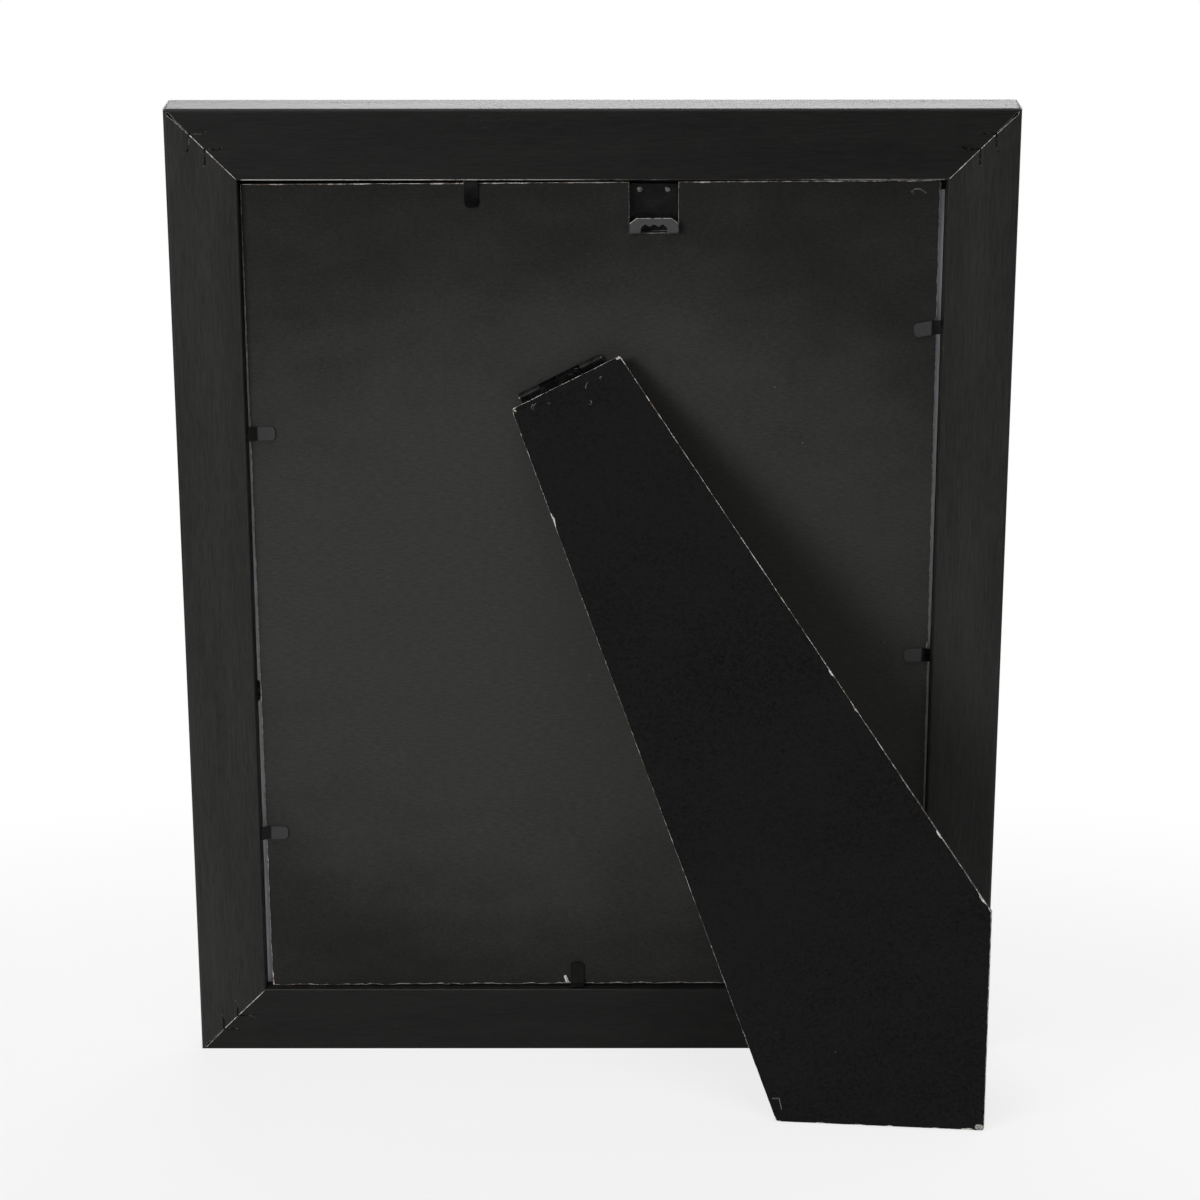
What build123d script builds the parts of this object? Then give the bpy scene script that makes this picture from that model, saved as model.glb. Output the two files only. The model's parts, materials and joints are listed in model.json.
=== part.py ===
from build123d import *
import math
import os

# Easel back photo frame for a 203 x 254 mm print, in millimetres, standing as on a table:
# front towards -Y, leaning back, with its leg open. Every piece is drawn on the upright frame first,
# with X to the right, Z up from the frame's bottom edge and Y outwards from the rails' back faces.

# Glass, sheet and back board, from the front to the back
glass_width = 203.2
glass_height = 254.0
glass_thickness = 2.0
sheet_height = 252.0
sheet_thickness = 0.3
board_thickness = 3.0
board_recess = 2.5

# Rabbet, the step in the rails that holds them
glass_side_clearance = 0.9
sheet_side_clearance = 0.25
glass_end_clearance = 1.0
board_side_slack = 2.6
board_end_slack = 1.8
seat_gap = 0.2
board_turn_share = 0.53

# Wooden rails
rail_depth = 16.0
rail_back_width = 20.7
lip_width = 6.0
sight_bevel = 3.0
edge_round = 1.0
arris_round = 0.4
corner_round = 1.0

# V-nails across each mitre, their apexes measured from the outer faces
nail_insets = (7.2, 11.7)
nail_arm = 3.9
nail_flare = 1.5
nail_flare_angle = 28.0
nail_thickness = 0.45
nail_depth = 8.0

# Bendable retaining tabs: side of the rabbet, place as a share of that side's length from its middle,
# and how many degrees each was driven askew
tab_shares = {
    "tab_top": ("top", 0.172, 2.0),
    "tab_bottom": ("bottom", 0.025, 0.0),
    "tab_right_upper": ("right", 0.202, 0.0),
    "tab_right_lower": ("right", -0.296, -1.0),
    "tab_left_upper": ("left", 0.329, 10.0),
    "tab_left_lower": ("left", -0.069, 4.0),
}
tab_width = 4.1
tab_thickness = 0.5
tab_rise = 1.4
tab_pivot_out = 0.5
tab_pivot_gap = 0.05
tab_slope_run = 2.0
tab_flat_length = 5.9
tab_tip_round = 1.3
tab_board_gap = 0.05
tab_embed = 6.0
tab_point = 2.2

# Notch in the top of the board, and the saw-tooth hanger in it
notch_centre = -18.4
notch_width = 14.3
notch_depth = 15.0
hanger_thickness = 0.6
hanger_bend = 0.3
hanger_side_gap = 0.1
hanger_end_gap = 0.15
hanger_top_gap = 1.0
hanger_wing = 4.0
hanger_wing_rise = 3.0
hanger_pocket_gap = 0.05
saw_height = 4.6
saw_leg_width = 3.2
saw_bar = 1.65
saw_chamfer_width = 1.97
saw_chamfer_height = 1.6
tooth_pitch = 2.6
tooth_height = 0.7
tooth_shoulder = 1.05
dimple_radius = 0.95
dimple_height = 0.25
dimple_spacing = 8.1
dimple_rise = 12.2
dimple_top_share = 0.6

# Hinge between the board and the leg, with its pin rising towards the frame's left
hinge_x = 9.5
hinge_drop = 79.8
hinge_slope = 27.0
hinge_length = 26.6
side_knuckle_share = 0.25
knuckle_radius = 1.3
knuckle_gap = 0.15
pin_radius = 0.6
pin_clearance = 0.05
pin_overhang = 0.4
leaf_thickness = 0.5
leaf_length = 14.5
leaf_round = 2.0
rivet_radius = 0.7
rivet_clearance = 0.05
rivet_head_radius = 1.1
rivet_head_height = 0.3
rivet_wide_spacing = 22.0
rivet_narrow_spacing = 11.2
rivet_first_row = 5.8
rivet_second_row = 10.9

# Leg, cut so that one foot edge stands on the table in portrait and the other in landscape
lean = 11.0
side_lean = 6.8
leg_opening = 20.1
leg_closed_angle = 0.5
leg_thickness = 3.0
leg_top_gap = 2.4
leg_top_right = 16.5
leg_top_left = 19.1
foot_length = 59.9
side_foot_length = 63.0
leg_corner_round = 0.6

# Sizes that follow
rabbet_width = glass_width + 2 * glass_side_clearance
rabbet_height = glass_height + 2 * glass_end_clearance
rabbet_depth = glass_thickness + sheet_thickness + board_thickness + board_recess
frame_width = rabbet_width + 2 * rail_back_width
frame_height = rabbet_height + 2 * rail_back_width
rail_width = rail_back_width + lip_width
rabbet_centre = frame_height / 2
sheet_width = rabbet_width - 2 * sheet_side_clearance
board_width = rabbet_width - board_side_slack
board_height = rabbet_height - board_end_slack
board_turn = board_turn_share * math.degrees(math.atan(board_side_slack / board_height))
turn = math.radians(board_turn)
board_reach = (board_height * math.cos(turn) + board_width * math.sin(turn)) / 2
board_centre = rail_back_width + seat_gap + board_reach
tab_drop = tab_rise - tab_board_gap - tab_thickness / 2
pin_height = knuckle_radius - board_recess
hinge_z = frame_height - hinge_drop

# Directions across each side of the frame, as a turn about Y of the bottom rail's
side_turns = {"bottom": 0, "left": 90, "top": 180, "right": -90}
# A plane whose drawing runs inwards across a rail and outwards from the back, and is extruded along it
rail_section = Plane(origin=(0, 0, 0), x_dir=(0, 0, 1), z_dir=(-1, 0, 0))
# A plane seen square from behind, for outlines that are extruded through the frame's depth
face_plane = Plane(origin=(0, 0, 0), x_dir=(1, 0, 0), z_dir=(0, -1, 0))


def strip(path, thickness, bend=0):
    """Flat band of a thickness along a path of corners, each bend with its inside radius."""
    sides = ([], [])
    radii = ([], [])
    for place, point in enumerate(path):
        here = Vector(*point)
        before = here - Vector(*path[place - 1]) if place > 0 else Vector(*path[1]) - here
        after = Vector(*path[place + 1]) - here if place < len(path) - 1 else before
        mean = before.normalized() + after.normalized()
        normal = Vector(-mean.Y, mean.X).normalized()
        reach = thickness / 2 / math.cos(math.radians(before.get_angle(after) / 2))
        left_turn = before.X * after.Y - before.Y * after.X > 0
        for points, sizes, sign in zip(sides, radii, (1, -1)):
            points.append(here + normal * reach * sign)
            sizes.append(bend if left_turn == (sign > 0) else bend + thickness)
    edges = []
    for points, sizes in zip(sides, radii):
        rounded = bend > 0 and len(points) > 2
        edges.append(FilletPolyline(*points, radius=sizes[1:-1]) if rounded else Polyline(*points))
    ends = [Line(sides[0][0], sides[1][0]), Line(sides[0][-1], sides[1][-1])]
    return make_face([*edges[0].edges(), *edges[1].edges(), *ends])


def along_x(radius, start, end):
    """Round bar along X from one place to another."""
    return Pos((start + end) / 2, 0, 0) * Rot(0, 90, 0) * Cylinder(radius, end - start)


def slab(low, high):
    """Block between two corners."""
    size = [above - below for below, above in zip(low, high)]
    middle = [(above + below) / 2 for below, above in zip(low, high)]
    return Pos(*middle) * Box(*size)


def through(outline, near, far):
    """Outline in X and Z as a solid between two levels of Y."""
    return Pos(0, near, 0) * extrude(face_plane * outline, near - far, dir=(0, -1, 0))


def rail_at(side):
    """Place of a rail whose outer face lies on one side of the frame."""
    centres = {
        "bottom": (0, 0),
        "top": (0, frame_height),
        "left": (-frame_width / 2, rabbet_centre),
        "right": (frame_width / 2, rabbet_centre),
    }
    x, z = centres[side]
    return Pos(x, 0, z) * Rot(0, side_turns[side], 0)


def make_rail(side, length):
    """One mitred rail: moulding section with the rabbet behind its lip."""
    outer = [(0, 0), (0, -rail_depth)]
    corners = [
        outer[0],
        (rail_back_width, 0),
        (rail_back_width, -rabbet_depth),
        (rail_width, -rabbet_depth),
        (rail_width, sight_bevel - rail_depth),
        (rail_width - sight_bevel, -rail_depth),
        outer[1],
    ]
    section = make_face(Polyline(*corners, close=True))
    section = fillet(section.vertices().group_by(Axis.X)[0], edge_round)
    inner = [corner for corner in section.vertices() if corner.X > rail_back_width / 2]
    section = fillet([corner for corner in inner if abs(corner.Y + rabbet_depth) > arris_round], arris_round)
    bar = extrude(rail_section * section, length / 2, both=True)
    half = length / 2
    mitred = Polygon(
        (-half, 0), (half, 0), (half - rail_width, rail_width), (rail_width - half, rail_width), align=None
    )
    bar &= through(mitred, 0, -rail_depth)
    outline = Pos(0, rabbet_centre) * RectangleRounded(frame_width, frame_height, corner_round)
    return (rail_at(side) * bar) & through(outline, 0, -rail_depth)


def make_nails():
    """Two V-nails in each corner, driven flush across the mitre, with flared arm ends."""
    flare = math.radians(nail_flare_angle)
    straight_out = nail_arm + nail_flare * math.cos(flare)
    aside = nail_flare * math.sin(flare)
    path = [(straight_out, -aside), (nail_arm, 0), (0, 0), (0, nail_arm), (-aside, straight_out)]
    nails = []
    for inset in nail_insets:
        for across in (-1, 1):
            for up in (-1, 1):
                centre = (across * (frame_width / 2 - inset), rabbet_centre + up * (rabbet_centre - inset))
                points = [(centre[0] - across * x, centre[1] - up * z) for x, z in path]
                nails.append(through(strip(points, nail_thickness), 0, -nail_depth))
    return nails


def tab_at(side, share, skew):
    """Place of a tab's bend line: X along the rail, Y outwards and Z in over the board."""
    across = share * rabbet_width
    up = rabbet_centre + share * rabbet_height
    offsets = {
        "bottom": (across, rail_back_width + tab_pivot_out),
        "top": (across, frame_height - rail_back_width - tab_pivot_out),
        "left": (tab_pivot_out - rabbet_width / 2, up),
        "right": (rabbet_width / 2 - tab_pivot_out, up),
    }
    x, z = offsets[side]
    return Pos(x, tab_rise - board_recess, z) * Rot(0, side_turns[side] + skew, 0)


def make_tab():
    """Free end of a tab: down the slope from its bend line, then flat along the board."""
    reach = tab_slope_run + tab_flat_length
    path = [(0, 0), (tab_slope_run, -tab_drop), (reach, -tab_drop)]
    blade = extrude(rail_section * strip(path, tab_thickness), tab_width / 2, both=True)
    outline = Pos(0, reach / 2) * Rectangle(tab_width, reach)
    outline = fillet(outline.vertices().group_by(Axis.Y)[-1], tab_tip_round)
    blade &= through(outline, tab_thickness, -tab_rise)
    return blade + along_x(tab_thickness / 2, -tab_width / 2, tab_width / 2)


def make_anchor():
    """Pointed end of a tab, driven into the rabbet's wall."""
    half = tab_width / 2
    root = -tab_pivot_out - tab_embed
    end = -tab_thickness / 2 - tab_pivot_gap
    outline = Polygon(
        (half, end), (-half, end), (-half, root + tab_point), (0, root), (half, root + tab_point), align=None
    )
    return through(outline, tab_thickness / 2, -tab_thickness / 2)


def make_board():
    """Back board with the hanger's notch, and the pocket under it for the hanger's wings."""
    top = board_height / 2
    bottom = top - notch_depth
    outline = Rectangle(board_width, board_height)
    outline -= Pos(notch_centre, top) * Rectangle(notch_width, 2 * notch_depth)
    half = notch_width / 2 + hanger_wing + hanger_end_gap
    pocket = slab(
        (notch_centre - half, -board_thickness, bottom + hanger_wing_rise - hanger_end_gap),
        (notch_centre + half, hanger_thickness + hanger_pocket_gap - board_thickness, top),
    )
    return through(outline, 0, -board_thickness) - pocket


def make_hanger():
    """Hanger bent from one strap: base in the board, two risers and the saw-tooth plate above it."""
    half_strip = hanger_thickness / 2
    low = board_height / 2 - notch_depth + hanger_end_gap
    base_level = half_strip - board_thickness
    saw_level = board_recess - half_strip
    base_top = board_height / 2 - hanger_top_gap
    saw_top = low + saw_height
    riser = low + half_strip
    path = [(base_top, base_level), (riser, base_level), (riser, saw_level), (saw_top, saw_level)]
    width = notch_width - 2 * hanger_side_gap
    strap = extrude(rail_section * strip(path, hanger_thickness, hanger_bend), width / 2, both=True)

    edge = width / 2 - saw_leg_width
    apex = saw_top - saw_bar
    shoulder = apex - tooth_shoulder
    tip = apex - tooth_height
    below = low - hanger_thickness
    teeth = [(-tooth_pitch, apex), (-tooth_pitch / 2, tip), (0, apex), (tooth_pitch / 2, tip), (tooth_pitch, apex)]
    opening = Polygon((-edge, below), (-edge, shoulder), *teeth, (edge, shoulder), (edge, below), align=None)
    strap -= through(opening, board_recess, base_level + half_strip)
    for side in (-1, 1):
        corner = Polygon(
            (side * width / 2, saw_top - saw_chamfer_height),
            (side * width / 2, saw_top),
            (side * (width / 2 - saw_chamfer_width), saw_top),
            align=None,
        )
        strap -= through(corner, board_recess, saw_level - half_strip)
        dimple = Cone(dimple_radius, dimple_radius * dimple_top_share, dimple_height)
        level = base_level + half_strip + dimple_height / 2
        strap += Pos(side * dimple_spacing / 2, level, low + dimple_rise) * Rot(-90, 0, 0) * dimple
    strap += slab(
        (-width / 2 - hanger_wing, -board_thickness, low + hanger_wing_rise),
        (width / 2 + hanger_wing, hanger_thickness - board_thickness, base_top),
    )
    return Pos(notch_centre, 0, 0) * strap


def knuckle_spans():
    """Spans along the pin of the two side knuckles and of the middle one."""
    half = hinge_length / 2
    inner = half - hinge_length * side_knuckle_share
    sides = [(-half, -inner - knuckle_gap / 2), (inner + knuckle_gap / 2, half)]
    return sides, [(knuckle_gap / 2 - inner, inner - knuckle_gap / 2)]


def rivet_places():
    """Places of one leaf's rivets, from the middle of the pin down the leaf."""
    rows = ((rivet_wide_spacing, rivet_first_row), (rivet_narrow_spacing, rivet_first_row))
    rows += ((rivet_narrow_spacing, rivet_second_row),)
    return [(side * spacing / 2, down) for spacing, down in rows for side in (-1, 1)]


def make_leaf(own, other, level):
    """Hinge leaf lying on one side of the pin, with its own knuckles and room for the other leaf's."""
    near, far = level - leaf_thickness / 2, level + leaf_thickness / 2
    outline = Pos(0, leaf_length / 2) * Rectangle(hinge_length, leaf_length)
    outline = fillet(outline.vertices().group_by(Axis.Y)[-1], leaf_round)
    leaf = Pos(0, 0, near) * extrude(outline, far - near)
    for start, end in other:
        room_end = knuckle_radius + knuckle_gap
        leaf -= slab((start - knuckle_gap, -room_end, near), (end + knuckle_gap, room_end, far))
    for start, end in own:
        leaf += along_x(knuckle_radius, start, end)
    leaf -= along_x(pin_radius + pin_clearance, -hinge_length, hinge_length)
    for x, y in rivet_places():
        leaf -= Pos(x, y, level) * Cylinder(rivet_radius + rivet_clearance, 2 * leaf_thickness)
    return leaf


def make_rivets(head, end, clinch):
    """Rivets from a leaf's free face to the far face of the sheet, the clinched ends standing proud."""
    side = 1 if end > head else -1
    rivets = []
    for x, y in rivet_places():
        low = head - side * rivet_head_height
        high = end + side * clinch
        rivet = Pos(x, y, (low + high) / 2) * Cylinder(rivet_radius, abs(high - low))
        rivet += Pos(x, y, (low + head) / 2) * Cylinder(rivet_head_radius, rivet_head_height)
        if clinch > 0:
            rivet += Pos(x, y, (end + high) / 2) * Cylinder(rivet_head_radius, clinch)
        rivets.append(rivet)
    return rivets


def rivet_holes(low, high):
    """Holes through a sheet for its leaf's rivets."""
    radius = rivet_radius + rivet_clearance
    return [Pos(x, y, (low + high) / 2) * Cylinder(radius, abs(high - low)) for x, y in rivet_places()]


def edge_lift(angle):
    """How far a rounded edge raises the corner of the frame that stands on it, leaning by an angle."""
    turned = math.radians(angle)
    return edge_round * (math.cos(turned) + math.sin(turned) - 1)


def leg_outline(hinge):
    """Five corners of the leg, its foot edges lying in the table's plane in portrait and landscape."""
    inner = hinge * Pos(0, 0, knuckle_radius)
    origin = inner.position
    to_right = (inner * Pos(1, 0, 0)).position - origin
    down = (inner * Pos(0, 1, 0)).position - origin
    square = to_right.cross(down)
    tilt, side_tilt = math.radians(lean), math.radians(side_lean)
    table = Vector(0, -math.sin(tilt), math.cos(tilt))
    side_table = Vector(math.cos(side_tilt), -math.sin(side_tilt), 0)
    table_gap = edge_lift(lean) - table.dot(origin)
    side_gap = edge_lift(side_lean) - frame_width / 2 * math.cos(side_tilt) - side_table.dot(origin)
    cross = to_right.dot(table) * down.dot(side_table) - down.dot(table) * to_right.dot(side_table)
    x = (table_gap * down.dot(side_table) - down.dot(table) * side_gap) / cross
    y = (to_right.dot(table) * side_gap - table_gap * to_right.dot(side_table)) / cross
    along_foot = square.cross(table).normalized()
    along_side = square.cross(side_table).normalized()
    foot = Vector(along_foot.dot(to_right), along_foot.dot(down))
    side = Vector(along_side.dot(to_right), along_side.dot(down))
    foot = foot if foot.X > 0 else foot * -1
    side = side if side.Y < 0 else side * -1
    toe = Vector(x, y)
    heel = toe + foot * foot_length
    knee = toe + side * side_foot_length
    return [(leg_top_right, leg_top_gap), (-leg_top_left, leg_top_gap), knee, toe, heel]


def make_leg(hinge):
    """Five-cornered leg on the outer side of its hinge leaf."""
    outline = make_face(Polyline(*leg_outline(hinge), close=True))
    outline = fillet(outline.vertices(), leg_corner_round)
    leg = Pos(0, 0, knuckle_radius) * extrude(outline, leg_thickness)
    for hole in rivet_holes(knuckle_radius, knuckle_radius + leg_thickness):
        leg -= hole
    return leg


def make_frame():
    """Every piece, by name, on the upright frame."""
    pieces = {}
    nails = make_nails()
    anchors = [tab_at(*place) * make_anchor() for place in tab_shares.values()]
    rails = {"top_rail": "top", "bottom_rail": "bottom", "left_stile": "left", "right_stile": "right"}
    for name, side in rails.items():
        length = frame_width if side in ("top", "bottom") else frame_height
        rail = make_rail(side, length)
        for fixing in nails + anchors:
            rail -= fixing
        pieces[name] = rail
    pieces["corner_v_nails"] = nails
    pieces["tab_anchors"] = anchors
    for name, place in tab_shares.items():
        pieces[name] = tab_at(*place) * make_tab()

    seat = rail_back_width + seat_gap
    glass = Pos(0, seat + glass_height / 2) * Rectangle(glass_width, glass_height)
    sheet = Pos(0, seat + sheet_height / 2) * Rectangle(sheet_width, sheet_height)
    glass_back = glass_thickness - rabbet_depth
    pieces["glazing"] = through(glass, glass_back, -rabbet_depth)
    pieces["insert_sheet"] = through(sheet, glass_back + sheet_thickness, glass_back)

    hinge_turn = Plane(
        origin=(hinge_x, pin_height, hinge_z),
        x_dir=(math.cos(math.radians(hinge_slope)), 0, -math.sin(math.radians(hinge_slope))),
        z_dir=(0, 1, 0),
    )
    hinge = Location(hinge_turn)
    open_hinge = hinge * Rot(leg_opening, 0, 0)
    side_spans, middle_spans = knuckle_spans()
    leaf_level = knuckle_radius - leaf_thickness / 2
    board = Pos(0, -board_recess, board_centre) * Rot(0, board_turn, 0)
    back = board * make_board()
    for hole in rivet_holes(-knuckle_radius - board_thickness, -knuckle_radius):
        back -= hinge * hole
    pieces["back_board"] = back
    pieces["hanger"] = board * make_hanger()
    pieces["board_hinge_leaf"] = hinge * make_leaf(side_spans, middle_spans, -leaf_level)
    board_rivets = make_rivets(leaf_thickness - knuckle_radius, -knuckle_radius - board_thickness, 0)
    pieces["board_hinge_rivets"] = [hinge * rivet for rivet in board_rivets]
    pin_end = hinge_length / 2 + pin_overhang
    pieces["hinge_pin"] = hinge * along_x(pin_radius, -pin_end, pin_end)
    pieces["leg_hinge_leaf"] = open_hinge * make_leaf(middle_spans, side_spans, leaf_level)
    leg_face = knuckle_radius + leg_thickness
    leg_rivets = make_rivets(knuckle_radius - leaf_thickness, leg_face, rivet_head_height)
    pieces["leg_hinge_rivets"] = [open_hinge * rivet for rivet in leg_rivets]
    pieces["easel_leg"] = open_hinge * make_leg(open_hinge)
    return pieces, hinge


def one_shape(piece):
    """A piece as it is written: one solid, or a group of separate ones."""
    return Compound([part.solid() for part in piece]) if isinstance(piece, list) else piece.solid()


def report_joint(name, place, axis, closing):
    """Print a joint's place in metres and its axis, as the standing frame has them."""
    metres = [round(value / 1000, 6) for value in place.position]
    direction = [round(value, 6) for value in axis]
    print(name, "at", metres, "along", direction, "range", closing)


pieces, hinge = make_frame()
shapes = {name: one_shape(piece) for name, piece in pieces.items()}
tilted = Pos(0, 0, -edge_lift(lean)) * Rot(-lean, 0, 0)
box = Compound([tilted * shape for shape in shapes.values()]).bounding_box()
stand = Pos(0, -(box.min.Y + box.max.Y) / 2, 0) * tilted

os.makedirs("parts", exist_ok=True)
for name, shape in shapes.items():
    export_step(stand * shape, os.path.join("parts", name + ".step"))

pivot = stand * hinge
report_joint("leg_hinge", pivot, (pivot * Pos(-1, 0, 0)).position - pivot.position, leg_opening - leg_closed_angle)
for name, place in tab_shares.items():
    pivot = stand * tab_at(*place)
    report_joint(name, pivot, (pivot * Pos(-1, 0, 0)).position - pivot.position, "up from the board")
print("frame", frame_width, frame_height, "box", box.size)
print("stand shift", round(stand.position.Y, 6), "lift", round(edge_lift(lean), 6), "lean", lean)
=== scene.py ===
import json
import logging
import math
from dataclasses import dataclass, replace
from enum import Enum
from itertools import product
from typing import Callable, Sequence

import bmesh
import bpy
from mathutils import Matrix, Vector, noise

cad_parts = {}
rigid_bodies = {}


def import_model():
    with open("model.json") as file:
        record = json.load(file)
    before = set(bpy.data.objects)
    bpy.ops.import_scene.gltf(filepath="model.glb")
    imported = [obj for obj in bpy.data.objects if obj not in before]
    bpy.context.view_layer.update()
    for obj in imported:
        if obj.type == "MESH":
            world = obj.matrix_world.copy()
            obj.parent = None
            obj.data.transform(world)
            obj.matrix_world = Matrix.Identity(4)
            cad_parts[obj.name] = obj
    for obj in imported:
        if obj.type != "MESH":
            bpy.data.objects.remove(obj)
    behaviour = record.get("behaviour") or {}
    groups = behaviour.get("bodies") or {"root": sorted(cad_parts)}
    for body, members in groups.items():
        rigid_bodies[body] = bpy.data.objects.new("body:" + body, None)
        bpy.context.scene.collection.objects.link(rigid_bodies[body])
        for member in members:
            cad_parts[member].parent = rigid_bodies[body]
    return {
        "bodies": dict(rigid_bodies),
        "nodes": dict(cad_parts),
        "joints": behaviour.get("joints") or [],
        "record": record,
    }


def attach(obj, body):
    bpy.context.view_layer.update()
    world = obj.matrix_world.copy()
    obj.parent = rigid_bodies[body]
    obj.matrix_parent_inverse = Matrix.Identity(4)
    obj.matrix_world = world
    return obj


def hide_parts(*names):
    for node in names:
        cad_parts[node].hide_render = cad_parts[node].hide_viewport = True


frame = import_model()

LOG = logging.getLogger("easel_back_frame")
MM = 0.001
FRAME_WIDTH = 246.4
FRAME_HEIGHT = 297.4
RAIL_WIDTH = 20.7
FIXED_BODY = "frame_and_back"
LEG_BODY = "leg"
Point = tuple[float, float, float]
Colour = tuple[float, float, float, float]
NormalTest = Callable[[Vector], bool]
Material = bpy.types.Material
Mesh = bpy.types.Mesh
Socket = bpy.types.NodeSocket


def grey(level: float, warmth: float = 0.0) -> Colour:
    """A near-neutral linear colour.

    Args:
        level: Linear brightness.
        warmth: Share of yellow: red is hardly raised, and blue lowered by twice as much.

    Returns:
        The colour with full alpha.
    """
    return (level * (1 + warmth * 0.15), level, level * (1 - warmth * 2), 1.0)


@dataclass(frozen=True)
class Stance:
    """How the frame, drawn upright in millimetres, stands.

    Upright, X is to its side, Y out of its back and Z up.
    """

    turn: Matrix
    origin: Vector

    @classmethod
    def of_frame(cls) -> "Stance":
        """Read the stance off the wall face's direction and the rails' own corners."""
        mount = next(m for m in frame["record"]["mounts"] if m["name"] == "wall_face")
        outward = Vector(mount["axis"])
        turn = Matrix.Rotation(-math.atan2(-outward.z, outward.y), 3, "X")
        back = turn.inverted()
        corners = [back @ v.co for v in frame["nodes"]["bottom_rail"].data.vertices]
        low = Vector((0, max(c.y for c in corners), min(c.z for c in corners)))
        return cls(turn, turn @ low)

    def place(self, point: Sequence[float]) -> Vector:
        """Standing place, in metres, of an upright point in millimetres."""
        return self.origin + self.turn @ (Vector(point) * MM)

    def read(self, point: Vector) -> Vector:
        """Upright point, in millimetres, of a standing place in metres."""
        return self.turn.inverted() @ (point - self.origin) / MM

    def upright(self, direction: Vector) -> Vector:
        """Upright direction of a standing one."""
        return self.turn.inverted() @ direction

    @property
    def outward(self) -> Vector:
        """Standing direction out of the frame's back."""
        return self.turn @ Vector((0, 1, 0))

    @property
    def lean(self) -> float:
        """Angle by which the frame leans back, in radians."""
        return -self.turn.to_euler().x


STANCE = Stance.of_frame()


class Nodes:
    """A node tree with one method that makes any node."""

    def __init__(self, tree: bpy.types.NodeTree) -> None:
        """Keep the tree that nodes are made in."""
        self.tree = tree

    def add(
        self, kind: str, settings: dict | None = None, inputs: dict | None = None
    ) -> bpy.types.Node:
        """Make a node.

        Args:
            kind: Blender's node type.
            settings: Attributes, set first; "stops" fills a ramp with (place, colour) pairs.
            inputs: Values or links by socket name or number.

        Returns:
            The new node.
        """
        node = self.tree.nodes.new(kind)
        for name, value in (settings or {}).items():
            if name == "stops":
                ramp = node.color_ramp
                while len(ramp.elements) < len(value):
                    ramp.elements.new(0.5)
                for element, (place, colour) in zip(ramp.elements, value):
                    element.position, element.color = place, colour
            else:
                setattr(node, name, value)
        for name, value in (inputs or {}).items():
            self.feed(node.inputs[name], value)
        return node

    def feed(self, socket: Socket, value: object) -> None:
        """Link a socket to another, or set its value."""
        source = value.socket if isinstance(value, Field) else value
        if isinstance(source, Socket):
            self.tree.links.new(source, socket)
        else:
            socket.default_value = source


class Field:
    """A number that varies over a surface, on which Python's operators add Math nodes."""

    def __init__(self, nodes: Nodes, socket: Socket) -> None:
        """Wrap a socket of a tree."""
        self.nodes = nodes
        self.socket = socket

    def math(self, operation: str, *values: object) -> "Field":
        """Field that a Math node makes of these values."""
        node = self.nodes.add("ShaderNodeMath", {"operation": operation}, dict(enumerate(values)))
        return Field(self.nodes, node.outputs[0])

    def __add__(self, other: object) -> "Field":
        """Sum."""
        return self.math("ADD", self, other)

    __radd__ = __add__

    def __sub__(self, other: object) -> "Field":
        """Difference."""
        return self.math("SUBTRACT", self, other)

    def __rsub__(self, other: object) -> "Field":
        """Difference, reflected."""
        return self.math("SUBTRACT", other, self)

    def __mul__(self, other: object) -> "Field":
        """Product."""
        return self.math("MULTIPLY", self, other)

    __rmul__ = __mul__

    def __truediv__(self, other: object) -> "Field":
        """Quotient."""
        return self.math("DIVIDE", self, other)

    def __rtruediv__(self, other: object) -> "Field":
        """Quotient, reflected."""
        return self.math("DIVIDE", other, self)

    def __abs__(self) -> "Field":
        """Size without sign."""
        return self.math("ABSOLUTE", self)

    def power(self, exponent: float) -> "Field":
        """Power."""
        return self.math("POWER", self, exponent)

    def root(self) -> "Field":
        """Square root."""
        return self.math("SQRT", self)

    def least(self, other: object) -> "Field":
        """Smaller of two."""
        return self.math("MINIMUM", self, other)

    def most(self, other: object) -> "Field":
        """Larger of two."""
        return self.math("MAXIMUM", self, other)

    def step(self, start: float, end: float) -> "Field":
        """Smooth step from 0 at start to 1 at end; start may lie above end.

        Args:
            start: Level that gives 0.
            end: Level that gives 1.

        Returns:
            The stepped field.
        """
        low, high = min(start, end), max(start, end)
        node = self.nodes.add(
            "ShaderNodeMapRange",
            {"interpolation_type": "SMOOTHSTEP"},
            {"Value": self, "From Min": low, "From Max": high},
        )
        rising = Field(self.nodes, node.outputs[0])
        return rising if start < end else 1 - rising


def is_ray(nodes: Nodes, kind: str) -> Field:
    """Field that is 1 for rays of a kind."""
    return Field(nodes, nodes.add("ShaderNodeLightPath").outputs[f"Is {kind} Ray"])


def seen_ray(nodes: Nodes) -> Field:
    """Field that is 1 where the camera sees a thing, itself or through glass."""
    return is_ray(nodes, "Camera").most(is_ray(nodes, "Transmission"))


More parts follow.
